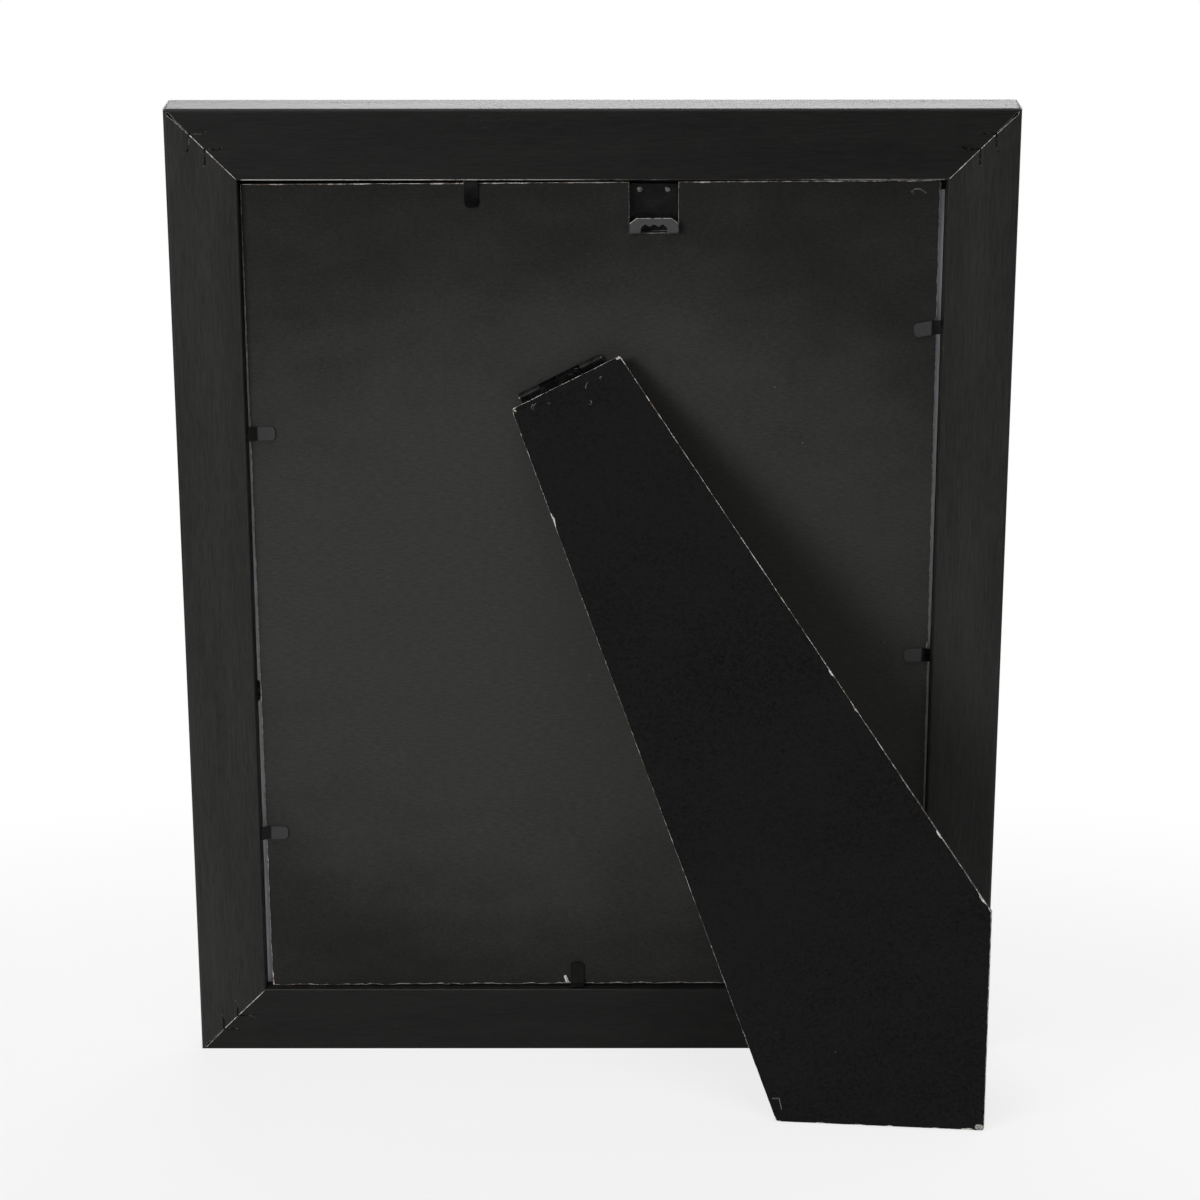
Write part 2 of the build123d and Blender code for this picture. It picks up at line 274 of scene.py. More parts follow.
class Surface(Nodes):
    """A material whose patterns are laid out in the frame's upright millimetres."""

    def __init__(self, name: str) -> None:
        """Make an empty material and its upright coordinates."""
        self.material = bpy.data.materials.new(name)
        self.material.use_nodes = True
        super().__init__(self.material.node_tree)
        self.tree.nodes.clear()
        upright = {
            "Vector": self.add("ShaderNodeTexCoord").outputs["Object"],
            "Location": tuple(-STANCE.upright(STANCE.origin) / MM),
            "Rotation": (STANCE.lean, 0, 0),
            "Scale": (1 / MM,) * 3,
        }
        self.place = self.add("ShaderNodeMapping", {"vector_type": "POINT"}, upright).outputs[0]
        parts = self.add("ShaderNodeSeparateXYZ", None, {0: self.place})
        self.x, self.y, self.z = (Field(self, out) for out in parts.outputs)

    def stretched(self, stretch: Point, shift: Point = (0, 0, 0)) -> Socket:
        """Coordinates divided by a length on each axis, in millimetres."""
        scale = tuple(1 / length for length in stretch)
        inputs = {"Vector": self.place, "Location": shift, "Scale": scale}
        return self.add("ShaderNodeMapping", None, inputs).outputs[0]

    def cloud(
        self, stretch: Point, detail: float = 2, rough: float = 0.5, shift: Point = (0, 0, 0)
    ) -> Field:
        """Soft noise whose features have the given lengths in millimetres."""
        place = self.stretched(stretch, shift)
        inputs = {"Vector": place, "Scale": 1.0, "Detail": detail, "Roughness": rough}
        return Field(self, self.add("ShaderNodeTexNoise", None, inputs).outputs[0])

    def cells(self, stretch: Point, shift: Point = (0, 0, 0)) -> tuple[Field, Field]:
        """Distance from scattered points, in cells, and a random number for each point."""
        inputs = {"Vector": self.stretched(stretch, shift), "Scale": 1.0}
        node = self.add("ShaderNodeTexVoronoi", {"feature": "F1"}, inputs)
        drawn = self.add("ShaderNodeSeparateColor", None, {0: node.outputs["Color"]})
        return Field(self, node.outputs["Distance"]), Field(self, drawn.outputs[0])

    def specks(
        self, stretch: Point, radius: float, share: float, shift: Point = (0, 0, 0)
    ) -> Field:
        """Mask of specks at a share of scattered points.

        Args:
            stretch: Spacing of the points on each axis, in millimetres.
            radius: Speck radius as a share of the spacing.
            share: Share of the points that carry a speck.
            shift: Offset of the pattern, in cells.

        Returns:
            Mask that is 1 inside a speck.
        """
        distance, drawn = self.cells(stretch, shift)
        return distance.step(radius, radius * 0.5) * drawn.step(share, share * 0.95)

    def vectors(self, operation: str, *values: object) -> bpy.types.Node:
        """Vector Math node of these values."""
        return self.add("ShaderNodeVectorMath", {"operation": operation}, dict(enumerate(values)))

    def line(self, start: Point, end: Point, half_width: float, soft: float = 0.1) -> Field:
        """Mask of a straight stroke between two upright points, in millimetres."""
        run = Vector(end) - Vector(start)
        away = self.vectors("SUBTRACT", self.place, start).outputs[0]
        dot = self.vectors("DOT_PRODUCT", away, tuple(run / run.length_squared)).outputs["Value"]
        held = Field(self, dot).most(0.0).least(1.0)
        scaled = {0: tuple(run), "Scale": held}
        along = self.add("ShaderNodeVectorMath", {"operation": "SCALE"}, scaled).outputs[0]
        across = self.vectors("SUBTRACT", away, along).outputs[0]
        distance = Field(self, self.vectors("LENGTH", across).outputs["Value"])
        return distance.step(half_width + soft, half_width)

    def mix(self, factor: object, first: object, second: object) -> Socket:
        """Colour between two."""
        node = self.add("ShaderNodeMix", {"data_type": "RGBA"}, {0: factor, 6: first, 7: second})
        return node.outputs[2]

    def bump(self, height: Field, depth: float, strength: float = 1.0) -> Socket:
        """Normal of a relief that is depth millimetres high."""
        inputs = {"Height": height, "Distance": depth * MM, "Strength": strength}
        return self.add("ShaderNodeBump", None, inputs).outputs[0]

    def finish(
        self,
        colour: Socket,
        roughness: Field,
        normal: Socket,
        specular: float = 0.5,
        metallic: object = 0.0,
    ) -> Material:
        """End the material in a Principled shader.

        Args:
            colour: Base colour.
            roughness: Roughness.
            normal: Normal of its relief.
            specular: Specular level.
            metallic: How much of it is bare metal.

        Returns:
            The material.
        """
        inputs = {
            "Base Color": colour,
            "Roughness": roughness,
            "Normal": normal,
            "Specular IOR Level": specular,
            "Metallic": metallic,
        }
        shader = self.add("ShaderNodeBsdfPrincipled", None, inputs)
        self.add("ShaderNodeOutputMaterial", None, {"Surface": shader.outputs[0]})
        return self.material


class Grain(Enum):
    """Way that the wood's fibres run."""

    ACROSS = "across"
    UPRIGHT = "upright"

    def lengths(self, along: float, aside: float) -> Point:
        """Lengths on X, Y and Z of a feature that is stretched along the fibres."""
        return (along, aside, aside) if self is Grain.ACROSS else (aside, aside, along)


@dataclass(frozen=True)
class PaintedWood:
    """Black satin paint that sinks into an open-grained moulding."""

    grain: Grain
    dark: float
    light: float
    roughness: float = 0.415
    contrast: float = 0.2
    pore_depth: float = 0.07
    dust_tone: float = 0.16

    def make(self) -> Material:
        """Build the material."""
        s = Surface("painted_wood_" + self.grain.value)
        lengths = self.grain.lengths
        streak = s.cloud(lengths(13, 0.7), detail=4, rough=0.66)
        fine = s.cloud(lengths(4, 0.3), detail=2, rough=0.6, shift=(3, 7, 1))
        sweep = s.cloud(lengths(90, 9), detail=2, shift=(1, 2, 9))
        fibre = streak * 0.42 + fine * 0.33 + sweep * 0.25
        gate = s.cloud(lengths(40, 5), detail=1, shift=(5, 1, 4)).step(0.5, 0.66)
        pore = s.cloud(lengths(5.5, 0.2), detail=1, shift=(8, 3, 2)).step(0.6, 0.7) * gate
        dust = s.specks((3.1, 3.1, 3.1), 0.05, 0.14)
        bright = fibre.step(0.5 - self.contrast, 0.5 + self.contrast)
        body = s.mix(bright, grey(self.dark, 0.02), grey(self.light, 0.035))
        body = s.mix(pore * 0.8, body, grey(self.dark * 0.3))
        body = s.mix(dust * 0.5, body, grey(self.dust_tone, 0.05))
        relief = streak * 0.5 + fine * 0.35 - pore * 0.8
        roughness = self.roughness + fibre * 0.16 + pore * 0.15
        return s.finish(body, roughness, s.bump(relief, self.pore_depth, 0.7), specular=0.24)


@dataclass(frozen=True)
class BareWood:
    """Sanded wood that shows where the paint is rubbed through, darker down in the joint."""

    light: Colour = (0.78, 0.75, 0.71, 1.0)
    dark: Colour = (0.22, 0.195, 0.17, 1.0)
    clear_depth: float = 0.28
    dark_depth: float = 0.42
    open_length: float = 9.0
    opening: float = 3.4
    shadow: float = 0.006

    def make(self) -> Material:
        """Build the material."""
        s = Surface("bare_wood")
        patch = s.cloud((1.1, 1.1, 1.1), detail=3, rough=0.65)
        fleck = s.cloud((0.35, 0.35, 0.35), detail=1, shift=(4, 4, 4))
        tone = s.mix(patch.step(0.38, 0.62), self.dark, self.light)
        tone = s.mix(fleck.step(0.55, 0.7) * 0.5, tone, grey(0.03))
        inner = FRAME_WIDTH / 2 - self.open_length
        outer = abs(s.x).step(inner, inner + self.open_length * 0.3)
        sunk = ((0 - s.y) * (1 + outer * self.opening)).step(self.clear_depth, self.dark_depth)
        tone = s.mix(sunk, tone, grey(self.shadow))
        relief = s.bump(patch + fleck * 0.5, 0.03, 0.6)
        return s.finish(tone, 0.8 + fleck * 0.1, relief, specular=0.2)


@dataclass(frozen=True)
class RubbedPaintHighlight:
    """Thin paint on an arris, rubbed grey in long patches, and painted lighter along the top rail
    as a highlight.
    """

    shade: float = 0.035
    worn: float = 0.62
    top: float = FRAME_HEIGHT - RAIL_WIDTH
    half_width: float = 102.2

    def make(self) -> Material:
        """Build the material."""
        s = Surface("rubbed_paint_highlight")
        patch = s.cloud((30, 30, 30), detail=3, rough=0.6, shift=(6, 2, 3))
        fine = s.cloud((2.0, 2.0, 2.0), detail=3, rough=0.65)
        inside = abs(s.x).step(self.half_width, self.half_width - 1)
        # Painted highlight: the top rail's arris, more so towards +X, is painted lighter and rubbed
        # more where it faces the bright floor; the other arrises stay dark.
        high = s.z.step(self.top - 0.5, self.top - 0.1) * inside
        high = high * (0.4 + s.x.step(-20, 70) * 0.6)
        rub = (patch * 0.6 + fine * 0.4 + high * 0.2).step(0.53, 0.68) * (0.02 + high * 0.88)
        paint = s.mix(high, grey(self.shade * 0.25), grey(self.shade, 0.1))
        paint = s.mix(patch.step(0.4, 0.6), paint, grey(self.shade * 0.3, 0.3))
        body = s.mix(rub, paint, grey(self.worn, 0.04))
        return s.finish(body, 0.4 + rub * 0.3, s.bump(fine, 0.02, 0.5), specular=0.3)


@dataclass(frozen=True)
class CoatedBoard:
    """Black paper-faced fibreboard with a fine emboss, cloudy handling marks and a painted pool of
    light.

    The painted light pool is (x, z, half width, half height); a mark is (start, end, half width,
    brightness).
    """

    name: str
    dark: float
    light: float
    emboss: float
    roughness: float
    specular: float
    coarse: float = 0.3
    flecks: float = 0.16
    weft: float = 0.0
    warmth: float = 0.03
    painted_light_pool: tuple[float, float, float, float] | None = None
    marks: tuple[tuple[Point, Point, float, float], ...] = ()

    def make(self) -> Material:
        """Build the material."""
        s = Surface(self.name)
        haze = s.cloud((46, 46, 30), detail=3, rough=0.55, shift=(2, 0, 5))
        smear = s.cloud((17, 17, 11), detail=3, rough=0.6, shift=(7, 0, 1))
        weave = s.cloud((0.62, 0.62, 0.5), detail=2, rough=0.6)
        nap = s.cloud((0.3, 0.3, 0.3), detail=1, shift=(1, 5, 3))
        pebble = s.cloud((1.3, 1.3, 1.0), detail=3, rough=0.7, shift=(9, 2, 6))
        rough = (weave + pebble) * (self.coarse * 0.5)
        tone = haze * 0.2 + smear * (0.34 - self.coarse * 0.5) + rough + 0.08
        # Painted light: a broad lighter patch over the board's middle stands in for light falling
        # there.
        if self.painted_light_pool:
            x, z, across, tall = self.painted_light_pool
            away = (abs(s.x - x) / across).power(2.0) + (abs(s.z - z) / tall).power(2.0)
            tone = tone * 0.8 + away.step(1.1, 0.0) * 0.25
        dark, light = grey(self.dark, self.warmth), grey(self.light, self.warmth)
        body = s.mix(tone.step(0.26, 0.62), dark, light)
        threads = s.cloud((2.6, 2.6, 0.42), detail=2, rough=0.75, shift=(4, 1, 8))
        body = s.mix(threads.step(0.36, 0.62) * self.weft, body, grey(self.dark * 0.5, self.warmth))
        fleck = s.specks((2.3, 2.3, 2.3), 0.06, self.flecks)
        lint = s.specks((9.0, 9.0, 9.0), 0.022, 0.3, shift=(3, 3, 3))
        body = s.mix(fleck * 0.4, body, grey(0.075, 0.02))
        body = s.mix(lint * 0.6, body, grey(0.3, 0.03))
        relief = weave * 0.4 + nap * 0.3 + pebble * 0.6
        for start, end, width, shade in self.marks:
            stroke = s.line(start, end, width) * nap.step(0.28, 0.5)
            body = s.mix(stroke * 0.9, body, grey(shade, 0.03))
            relief = relief + stroke * 0.5
        roughness = self.roughness + weave * 0.12 - smear * 0.08
        return s.finish(body, roughness, s.bump(relief, self.emboss, 0.6), self.specular)


@dataclass(frozen=True)
class BareFibre:
    """Torn paper and pressed fibre at a board's worn edge."""

    name: str
    pale: Colour = (0.62, 0.60, 0.56, 1.0)
    brown: Colour = (0.24, 0.18, 0.13, 1.0)
    brown_share: float = 0.25
    black_share: float = 0.4

    def make(self) -> Material:
        """Build the material."""
        s = Surface(self.name)
        patch = s.cloud((2.4, 2.4, 2.4), detail=3, rough=0.6)
        shred = s.cloud((0.5, 0.5, 0.5), detail=2, rough=0.7, shift=(2, 2, 2))
        tone = s.mix(patch.step(0.62 - self.brown_share * 0.3, 0.45), self.brown, self.pale)
        tone = s.mix(shred.step(0.5 + (0.5 - self.black_share) * 0.3, 0.62) * 0.8, tone, grey(0.02))
        relief = s.bump(shred + patch * 0.5, 0.04, 0.7)
        return s.finish(tone, 0.82 + shred * 0.1, relief, specular=0.15)


@dataclass(frozen=True)
class LacqueredSteel:
    """Thin steel strip under black lacquer, with rubbed grey scuffs and painted sheen on raised
    steel, blades and dimples.

    The painted sheen lies on steel raised above a height, on side blades beyond 60 mm from the
    middle between two distances, and on spots; a spot is (x, z, radius).
    """

    name: str
    shade: float = 0.012
    roughness: float = 0.36
    specular: float = 0.5
    rubbed: float = 0.1
    raised: float | None = None
    blades: tuple[float, float] | None = None
    side: float = 60.0
    worn: float = 0.05
    highlight_spots: tuple[tuple[float, float, float], ...] = ()

    def make(self) -> Material:
        """Build the material."""
        s = Surface(self.name)
        pool = s.cloud((3.4, 3.4, 3.4), detail=3, rough=0.55)
        peel = s.cloud((0.45, 0.45, 0.45), detail=1, shift=(6, 1, 2))
        scuff = s.cloud((4.0, 0.5, 0.5), detail=3, rough=0.7, shift=(1, 9, 4)).step(0.62, 0.74)
        body = s.mix(pool.step(0.3, 0.7), grey(self.shade * 0.6), grey(self.shade * 1.5, 0.02))
        body = s.mix(scuff * self.rubbed, body, grey(0.16, 0.02))
        dull = scuff * 0.12
        if self.raised is not None:
            # Painted sheen: the raised plate is painted lighter, standing in for its reflection of
            # the bright floor.
            lifted = s.y.step(self.raised - 0.2, self.raised)
            body = s.mix(lifted * (0.75 + peel * 0.5), body, grey(self.worn))
            dull = dull + lifted * 0.2
        if self.blades:
            # Painted sheen: the side blades are painted lighter, standing in for their reflection
            # of the floor.
            blade_sheen = abs(s.x).step(*self.blades) * abs(s.x).step(self.side, self.side + 1)
            body = s.mix(blade_sheen * (0.75 + peel * 0.5), body, grey(self.worn))
            dull = dull + blade_sheen * 0.25
        # Painted highlights on the dimples.
        for x, z, radius in self.highlight_spots:
            across, up = s.x - x, s.z - z
            away = (across * across + up * up).root()
            rub = away.step(radius, radius * 0.6) * peel.step(0.3, 0.5)
            body = s.mix(rub, body, grey(self.worn * 2.6))
        roughness = self.roughness + pool * 0.1 + dull - 0.05
        return s.finish(body, roughness, s.bump(peel + pool * 0.5, 0.012, 0.5), self.specular)


@dataclass(frozen=True)
class RubbedEdge:
    """Lacquer worn to bare steel along a cut edge, here and there; on the hanger's upward cut faces
    it is a painted highlight.
    """

    steel: float = 0.9
    shade: float = 0.05
    middle: float = 0.388

    def make(self) -> Material:
        """Build the material."""
        s = Surface("rubbed_edge")
        patch = s.cloud((1.3, 1.3, 1.3), detail=3, rough=0.6, shift=(5, 3, 1))
        bared = patch.step(self.middle, self.middle + 0.06)
        body = s.mix(bared, grey(self.shade), grey(self.steel))
        return s.finish(body, 0.4 + patch * 0.2, s.bump(patch, 0.01, 0.5), metallic=bared * 0.15)


@dataclass(frozen=True)
class DullSteel:
    """Bare strip steel with rolling lines and tarnish."""

    name: str = "dull_steel"
    light: float = 0.34
    dark: float = 0.11
    bright_share: float = 0.5
    warmth: float = 0.03

    def make(self) -> Material:
        """Build the material."""
        s = Surface(self.name)
        rolled = s.cloud((0.4, 6.0, 0.4), detail=3, rough=0.6)
        tarnish = s.cloud((1.6, 1.6, 1.6), detail=3, rough=0.6, shift=(3, 1, 2))
        middle = 0.5 + (0.5 - self.bright_share) * 0.4
        bright = (rolled * 0.4 + tarnish * 0.6).step(middle - 0.07, middle + 0.07)
        body = s.mix(bright, grey(self.dark), grey(self.light, self.warmth))
        relief = s.bump(rolled, 0.01, 0.5)
        return s.finish(body, 0.4 + rolled * 0.2, relief, metallic=0.75 + tarnish * 0.25)


@dataclass(frozen=True)
class ClearGlass:
    """Float glass with a faint green body and hardly any waviness.

    Shadow and diffuse rays pass straight through it, so that the sheet behind is lit evenly.
    """

    tint: Colour = (0.965, 0.985, 0.975, 1.0)

    def make(self) -> Material:
        """Build the material."""
        s = Surface("clear_glass")
        wave = s.cloud((60, 60, 60), detail=1)
        smudge = s.cloud((14, 14, 22), detail=4, rough=0.6, shift=(4, 2, 8))
        inputs = {
            "Base Color": self.tint,
            "Roughness": smudge.step(0.5, 0.8) * 0.03,
            "Transmission Weight": 1.0,
            "IOR": 1.5,
            "Normal": s.bump(wave, 0.02, 0.2),
        }
        shader = s.add("ShaderNodeBsdfPrincipled", None, inputs).outputs[0]
        clear = s.add("ShaderNodeBsdfTransparent", None, {"Color": self.tint}).outputs[0]
        passes = is_ray(s, "Shadow").most(is_ray(s, "Diffuse"))
        mixed = s.add("ShaderNodeMixShader", None, {0: passes, 1: shader, 2: clear})
        s.add("ShaderNodeOutputMaterial", None, {"Surface": mixed.outputs[0]})
        return s.material


@dataclass(frozen=True)
class InsertPaper:
    """Pale lilac-grey paper behind the glass, whiter along its side edges."""

    tone: Colour = (0.62, 0.58, 0.65, 1.0)
    margin: Colour = (0.93, 0.92, 0.95, 1.0)
    warm: Colour = (0.5, 0.48, 0.5, 1.0)
    half_width: float = 102.0
    margin_width: float = 1.2
    nick: tuple[Point, Point] = ((102.7, -5.6, 116.0), (102.7, -5.6, 120.5))
    nick_radius: float = 1.2

    def make(self) -> Material:
        """Build the material."""
        s = Surface("insert_paper")
        pulp = s.cloud((0.8, 0.8, 0.5), detail=3, rough=0.65)
        mottle = s.cloud((24, 24, 18), detail=2, shift=(2, 6, 4))
        edge = abs(s.x).step(self.half_width - self.margin_width, self.half_width)
        body = s.mix(edge, self.tone, self.margin)
        body = s.mix((pulp * 0.6 + mottle * 0.4).step(0.35, 0.75) * 0.1, body, self.warm)
        body = s.mix(s.line(*self.nick, self.nick_radius) * pulp.step(0.3, 0.4), body, grey(0.02))
        return s.finish(body, 0.78 + pulp * 0.12, s.bump(pulp, 0.015, 0.4), specular=0.25)


def dress(mesh: Mesh, materials: Sequence[Material]) -> None:
    """Give a mesh these materials by slot number, in place of any it has."""
    if mesh.materials:
        mesh.materials.clear()
    for material in materials:
        mesh.materials.append(material)


def in_scene(name: str, data: bpy.types.ID) -> bpy.types.Object:
    """Object of this data, put in the scene."""
    obj = bpy.data.objects.new(name, data)
    bpy.context.scene.collection.objects.link(obj)
    return obj


def point_mesh(name: str, places: Sequence[Sequence[float]]) -> Mesh:
    """Mesh of loose points."""
    mesh = bpy.data.meshes.new(name)
    mesh.from_pydata(places, [], [])
    return mesh


class Solid:
    """A merged copy of a CAD node's mesh, on which edges are worn and corners eased."""

    JOIN = 0.002
    FLAT_ANGLE = 1.0
    UPRIGHT_WALL = 0.02
    SMALLEST_WEIGHT = 0.02
    HOLE_SIDES = 8

    def __init__(self, node: str) -> None:
        """Copy the node, join its loose triangles and clear the flat faces' inner edges."""
        self.bm = bmesh.new()
        self.bm.from_mesh(frame["nodes"][node].data)
        bmesh.ops.remove_doubles(self.bm, verts=self.bm.verts, dist=self.JOIN * MM)
        self.clear_flats()
        self.weights = self.bm.edges.layers.float.new("bevel_weight_edge")
        self.worn: list[tuple[Vector, float]] = []

    def clear_flats(self) -> None:
        """Dissolve the edges inside flat faces."""
        limit = math.radians(self.FLAT_ANGLE)
        bmesh.ops.dissolve_limit(
            self.bm, angle_limit=limit, verts=self.bm.verts, edges=self.bm.edges
        )

    def fill_holes(self, across: Vector) -> int:
        """Fill the holes through a flat sheet, so that its faces are whole.

        Args:
            across: Standing direction through the sheet.

        Returns:
            Number of holes.
        """
        walls = {f for f in self.bm.faces if abs(f.normal.dot(across)) < self.UPRIGHT_WALL}
        rings = []
        while walls:
            ring, front = set(), [walls.pop()]
            while front:
                face = front.pop()
                ring.add(face)
                near = {f for e in face.edges for f in e.link_faces if f in walls}
                walls -= near
                front.extend(near)
            rings.append(ring)
        rings.sort(key=lambda ring: -sum(f.calc_area() for f in ring))
        holes = [ring for ring in rings[1:] if len(ring) >= self.HOLE_SIDES]
        bmesh.ops.delete(self.bm, geom=[f for ring in holes for f in ring], context="FACES")
        rims = [e for e in self.bm.edges if e.is_boundary]
        bmesh.ops.holes_fill(self.bm, edges=rims, sides=0)
        self.clear_flats()
        return len(holes)

    def slice(self, start: Vector, stride: Vector, count: int) -> None:
        """Cut the copy into bands, so that its long faces divide evenly.

        Args:
            start: Standing place of the first cut.
            stride: Standing vector from one cut to the next.
            count: Number of cuts.
        """
        for place in range(count):
            geometry = self.bm.verts[:] + self.bm.edges[:] + self.bm.faces[:]
            cut = start + stride * place
            bmesh.ops.bisect_plane(self.bm, geom=geometry, plane_co=cut, plane_no=stride)

    def between(self, first: NormalTest, second: NormalTest) -> list[bmesh.types.BMEdge]:
        """Edges between faces whose upright normals suit one test each."""
        found = []
        for edge in self.bm.edges:
            if len(edge.link_faces) == 2:
                a, b = (STANCE.upright(face.normal) for face in edge.link_faces)
                if (first(a) and second(b)) or (first(b) and second(a)):
                    found.append(edge)
        return found

    def wear(
        self,
        edges: Sequence[bmesh.types.BMEdge],
        width: Callable[[Vector], float],
        most: float,
        step: float,
    ) -> None:
        """Divide edges and note how wide each short length is worn.

        Args:
            edges: Edges to wear.
            width: Worn width in millimetres at an upright point.
            most: Width in millimetres that stands for a weight of 1.
            step: Length of the divisions in millimetres.
        """
        for edge in edges:
            cuts = max(0, round(edge.calc_length() / (step * MM)) - 1)
            parts = [edge]
            if cuts:
                made = bmesh.ops.bisect_edges(self.bm, edges=[edge], cuts=cuts)["geom_split"]
                parts = [item for item in made if isinstance(item, bmesh.types.BMEdge)]
            for part in parts:
                middle = (part.verts[0].co + part.verts[1].co) / 2
                worn = min(most, width(STANCE.read(middle)))
                part[self.weights] = max(self.SMALLEST_WEIGHT, worn / most)
                inward = -sum((face.normal for face in part.link_faces), Vector()) / 2
                self.worn.append((middle + inward * worn * MM, worn))

    def mesh(self, name: str) -> Mesh:
        """Plain mesh of the copy as it is now."""
        made = bpy.data.meshes.new(name)
        self.bm.to_mesh(made)
        self.bm.free()
        for layer in ("custom_normal", "sharp_face", "sharp_edge"):
            if layer in made.attributes:
                made.attributes.remove(made.attributes[layer])
        return made


class Workshop:
    """Turns meshes into finished pieces that ride on the frame's bodies."""

    CRUMB_WEAR = 0.14
    CRUMB_SIZES = (0.03, 0.12)
    SHARP_ANGLE = 40.0

    @staticmethod
    def bake(obj: bpy.types.Object) -> Mesh:
        """Mesh of an object with its modifiers applied and then removed."""
        depsgraph = bpy.context.evaluated_depsgraph_get()
        made = bpy.data.meshes.new_from_object(obj.evaluated_get(depsgraph))
        obj.modifiers.clear()
        return made

    @classmethod
    def piece(
        cls,
        name: str,
        mesh: Mesh,
        materials: Sequence[Material],
        bevel: dict | None = None,
        smooth_angle: float = 32.0,
    ) -> bpy.types.Object:
        """Make an object of a mesh and finish its edges and shading.

        Args:
            name: Piece name.
            mesh: Its mesh, in the standing frame.
            materials: Materials by slot number.
            bevel: Settings of a Bevel modifier, if its edges are eased.
            smooth_angle: Faces that meet at less than this many degrees are shaded as one.

        Returns:
            The object, with no modifiers left.
        """
        obj = in_scene(name, mesh)
        dress(mesh, materials)
        if bevel:
            modifier = obj.modifiers.new("ease", "BEVEL")
            for key, value in bevel.items():
                setattr(modifier, key, value)
            obj.data = cls.bake(obj)
        obj.data.shade_smooth()
        obj.data.set_sharp_from_angle(angle=math.radians(smooth_angle))
        modifier = obj.modifiers.new("flatten", "WEIGHTED_NORMAL")
        modifier.keep_sharp = True
        modifier.weight = 90
        obj.data = cls.bake(obj)
        obj.data.name = name
        return obj

    @staticmethod
    def worn_bevel(most: float) -> dict:
        """Settings of a Bevel that cuts an edge's noted wear and bares the second material."""
        return {
            "limit_method": "WEIGHT",
            "width": most * MM,
            "segments": 1,
            "material": 1,
            "use_clamp_overlap": False,
        }

    @staticmethod
    def eased_bevel(width: float, segments: int = 2) -> dict:
        """Settings of a Bevel that eases every sharp edge by a width in millimetres."""
        return {
            "limit_method": "ANGLE",
            "angle_limit": math.radians(Workshop.SHARP_ANGLE),
            "width": width * MM,
            "segments": segments,
        }

    @classmethod
    def crumbs(
        cls,
        name: str,
        worn: Sequence[tuple[Vector, float]],
        bare: Material,
        share: float,
        seed: int,
    ) -> bpy.types.Object:
        """Crumbs on the wider worn lengths of an edge.

        Args:
            name: Piece name.
            worn: Middle and width of each short length.
            bare: Material of the crumbs.
            share: Share of the lengths that carry one.
            seed: Seed of their sizes and turns.

        Returns:
            The piece.
        """
        places = [place[:] for place, width in worn if width > cls.CRUMB_WEAR]
        small, large = (size * MM for size in cls.CRUMB_SIZES)
        sizes = {"Smallest": small, "Largest": large}
        values = {"Share": share, "Seed": seed, "Material": bare} | sizes
        mesh = Crumbs().run(name, point_mesh(name + "_points", places), values)
        return cls.piece(name, mesh, [bare])

    @staticmethod
    def mount(obj: bpy.types.Object, body: str, slot: str, *nodes: str) -> bpy.types.Object:
        """Let a piece ride on a body and stand for its CAD nodes, which it hides."""
        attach(obj, body)
        if nodes:
            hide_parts(*nodes)
        LOG.info("%s: %d faces, on %s", obj.name, len(obj.data.polygons), body)
        return obj


class Recipe(Nodes):
    """A Geometry Nodes tree with named inputs, run once on a mesh."""

    def __init__(self, name: str, inputs: dict[str, str]) -> None:
        """Make the tree with a geometry input and further named inputs.

        Args:
            name: Name of the tree.
            inputs: Socket type of each named input.
        """
        super().__init__(bpy.data.node_groups.new(name, "GeometryNodeTree"))
        face = self.tree.interface
        face.new_socket("Geometry", in_out="INPUT", socket_type="NodeSocketGeometry")
        self.identifiers = {
            key: face.new_socket(key, in_out="INPUT", socket_type=kind).identifier
            for key, kind in inputs.items()
        }
        face.new_socket("Geometry", in_out="OUTPUT", socket_type="NodeSocketGeometry")
        self.source = self.add("NodeGroupInput").outputs

    def end(self, geometry: Socket) -> None:
        """End the tree: make instances real and give them the material."""
        real = self.add("GeometryNodeRealizeInstances", None, {"Geometry": geometry}).outputs[0]
        links = {"Geometry": real, "Material": self.source["Material"]}
        dressed = self.add("GeometryNodeSetMaterial", None, links).outputs[0]
        self.add("NodeGroupOutput", None, {"Geometry": dressed})

    def scatter(self, part: Socket, varied: dict) -> None:
        """End the tree with a part on each of the mesh's points, varied by further inputs."""
        mesh = {"Mesh": self.source["Geometry"]}
        points = self.add("GeometryNodeMeshToPoints", None, mesh).outputs[0]
        links = {"Points": points, "Instance": part} | varied
        self.end(self.add("GeometryNodeInstanceOnPoints", None, links).outputs[0])

    def run(self, name: str, mesh: Mesh, values: dict[str, object]) -> Mesh:
        """Run the tree on a mesh.

        Args:
            name: Name of the mesh that comes out.
            mesh: Mesh that the tree starts from.
            values: Values of the named inputs.

        Returns:
            The made mesh.
        """
        obj = in_scene(name, mesh)
        modifier = obj.modifiers.new(name, "NODES")
        modifier.node_group = self.tree
        for key, value in values.items():
            modifier[self.identifiers[key]] = value
        made = Workshop.bake(obj)
        bpy.data.objects.remove(obj)
        made.name = name
        return made


def edge_mesh(name: str, paths: Sequence[Sequence[Sequence[float]]]) -> Mesh:
    """Mesh of loose edges along paths of points.

    Args:
        name: Mesh name.
        paths: Points of each path.

    Returns:
        The mesh.
    """
    points, edges = [], []
    for path in paths:
        start = len(points)
        points.extend(tuple(point) for point in path)
        edges.extend((start + i, start + i + 1) for i in range(len(path) - 1))
    mesh = bpy.data.meshes.new(name)
    mesh.from_pydata(points, edges, [])
    return mesh


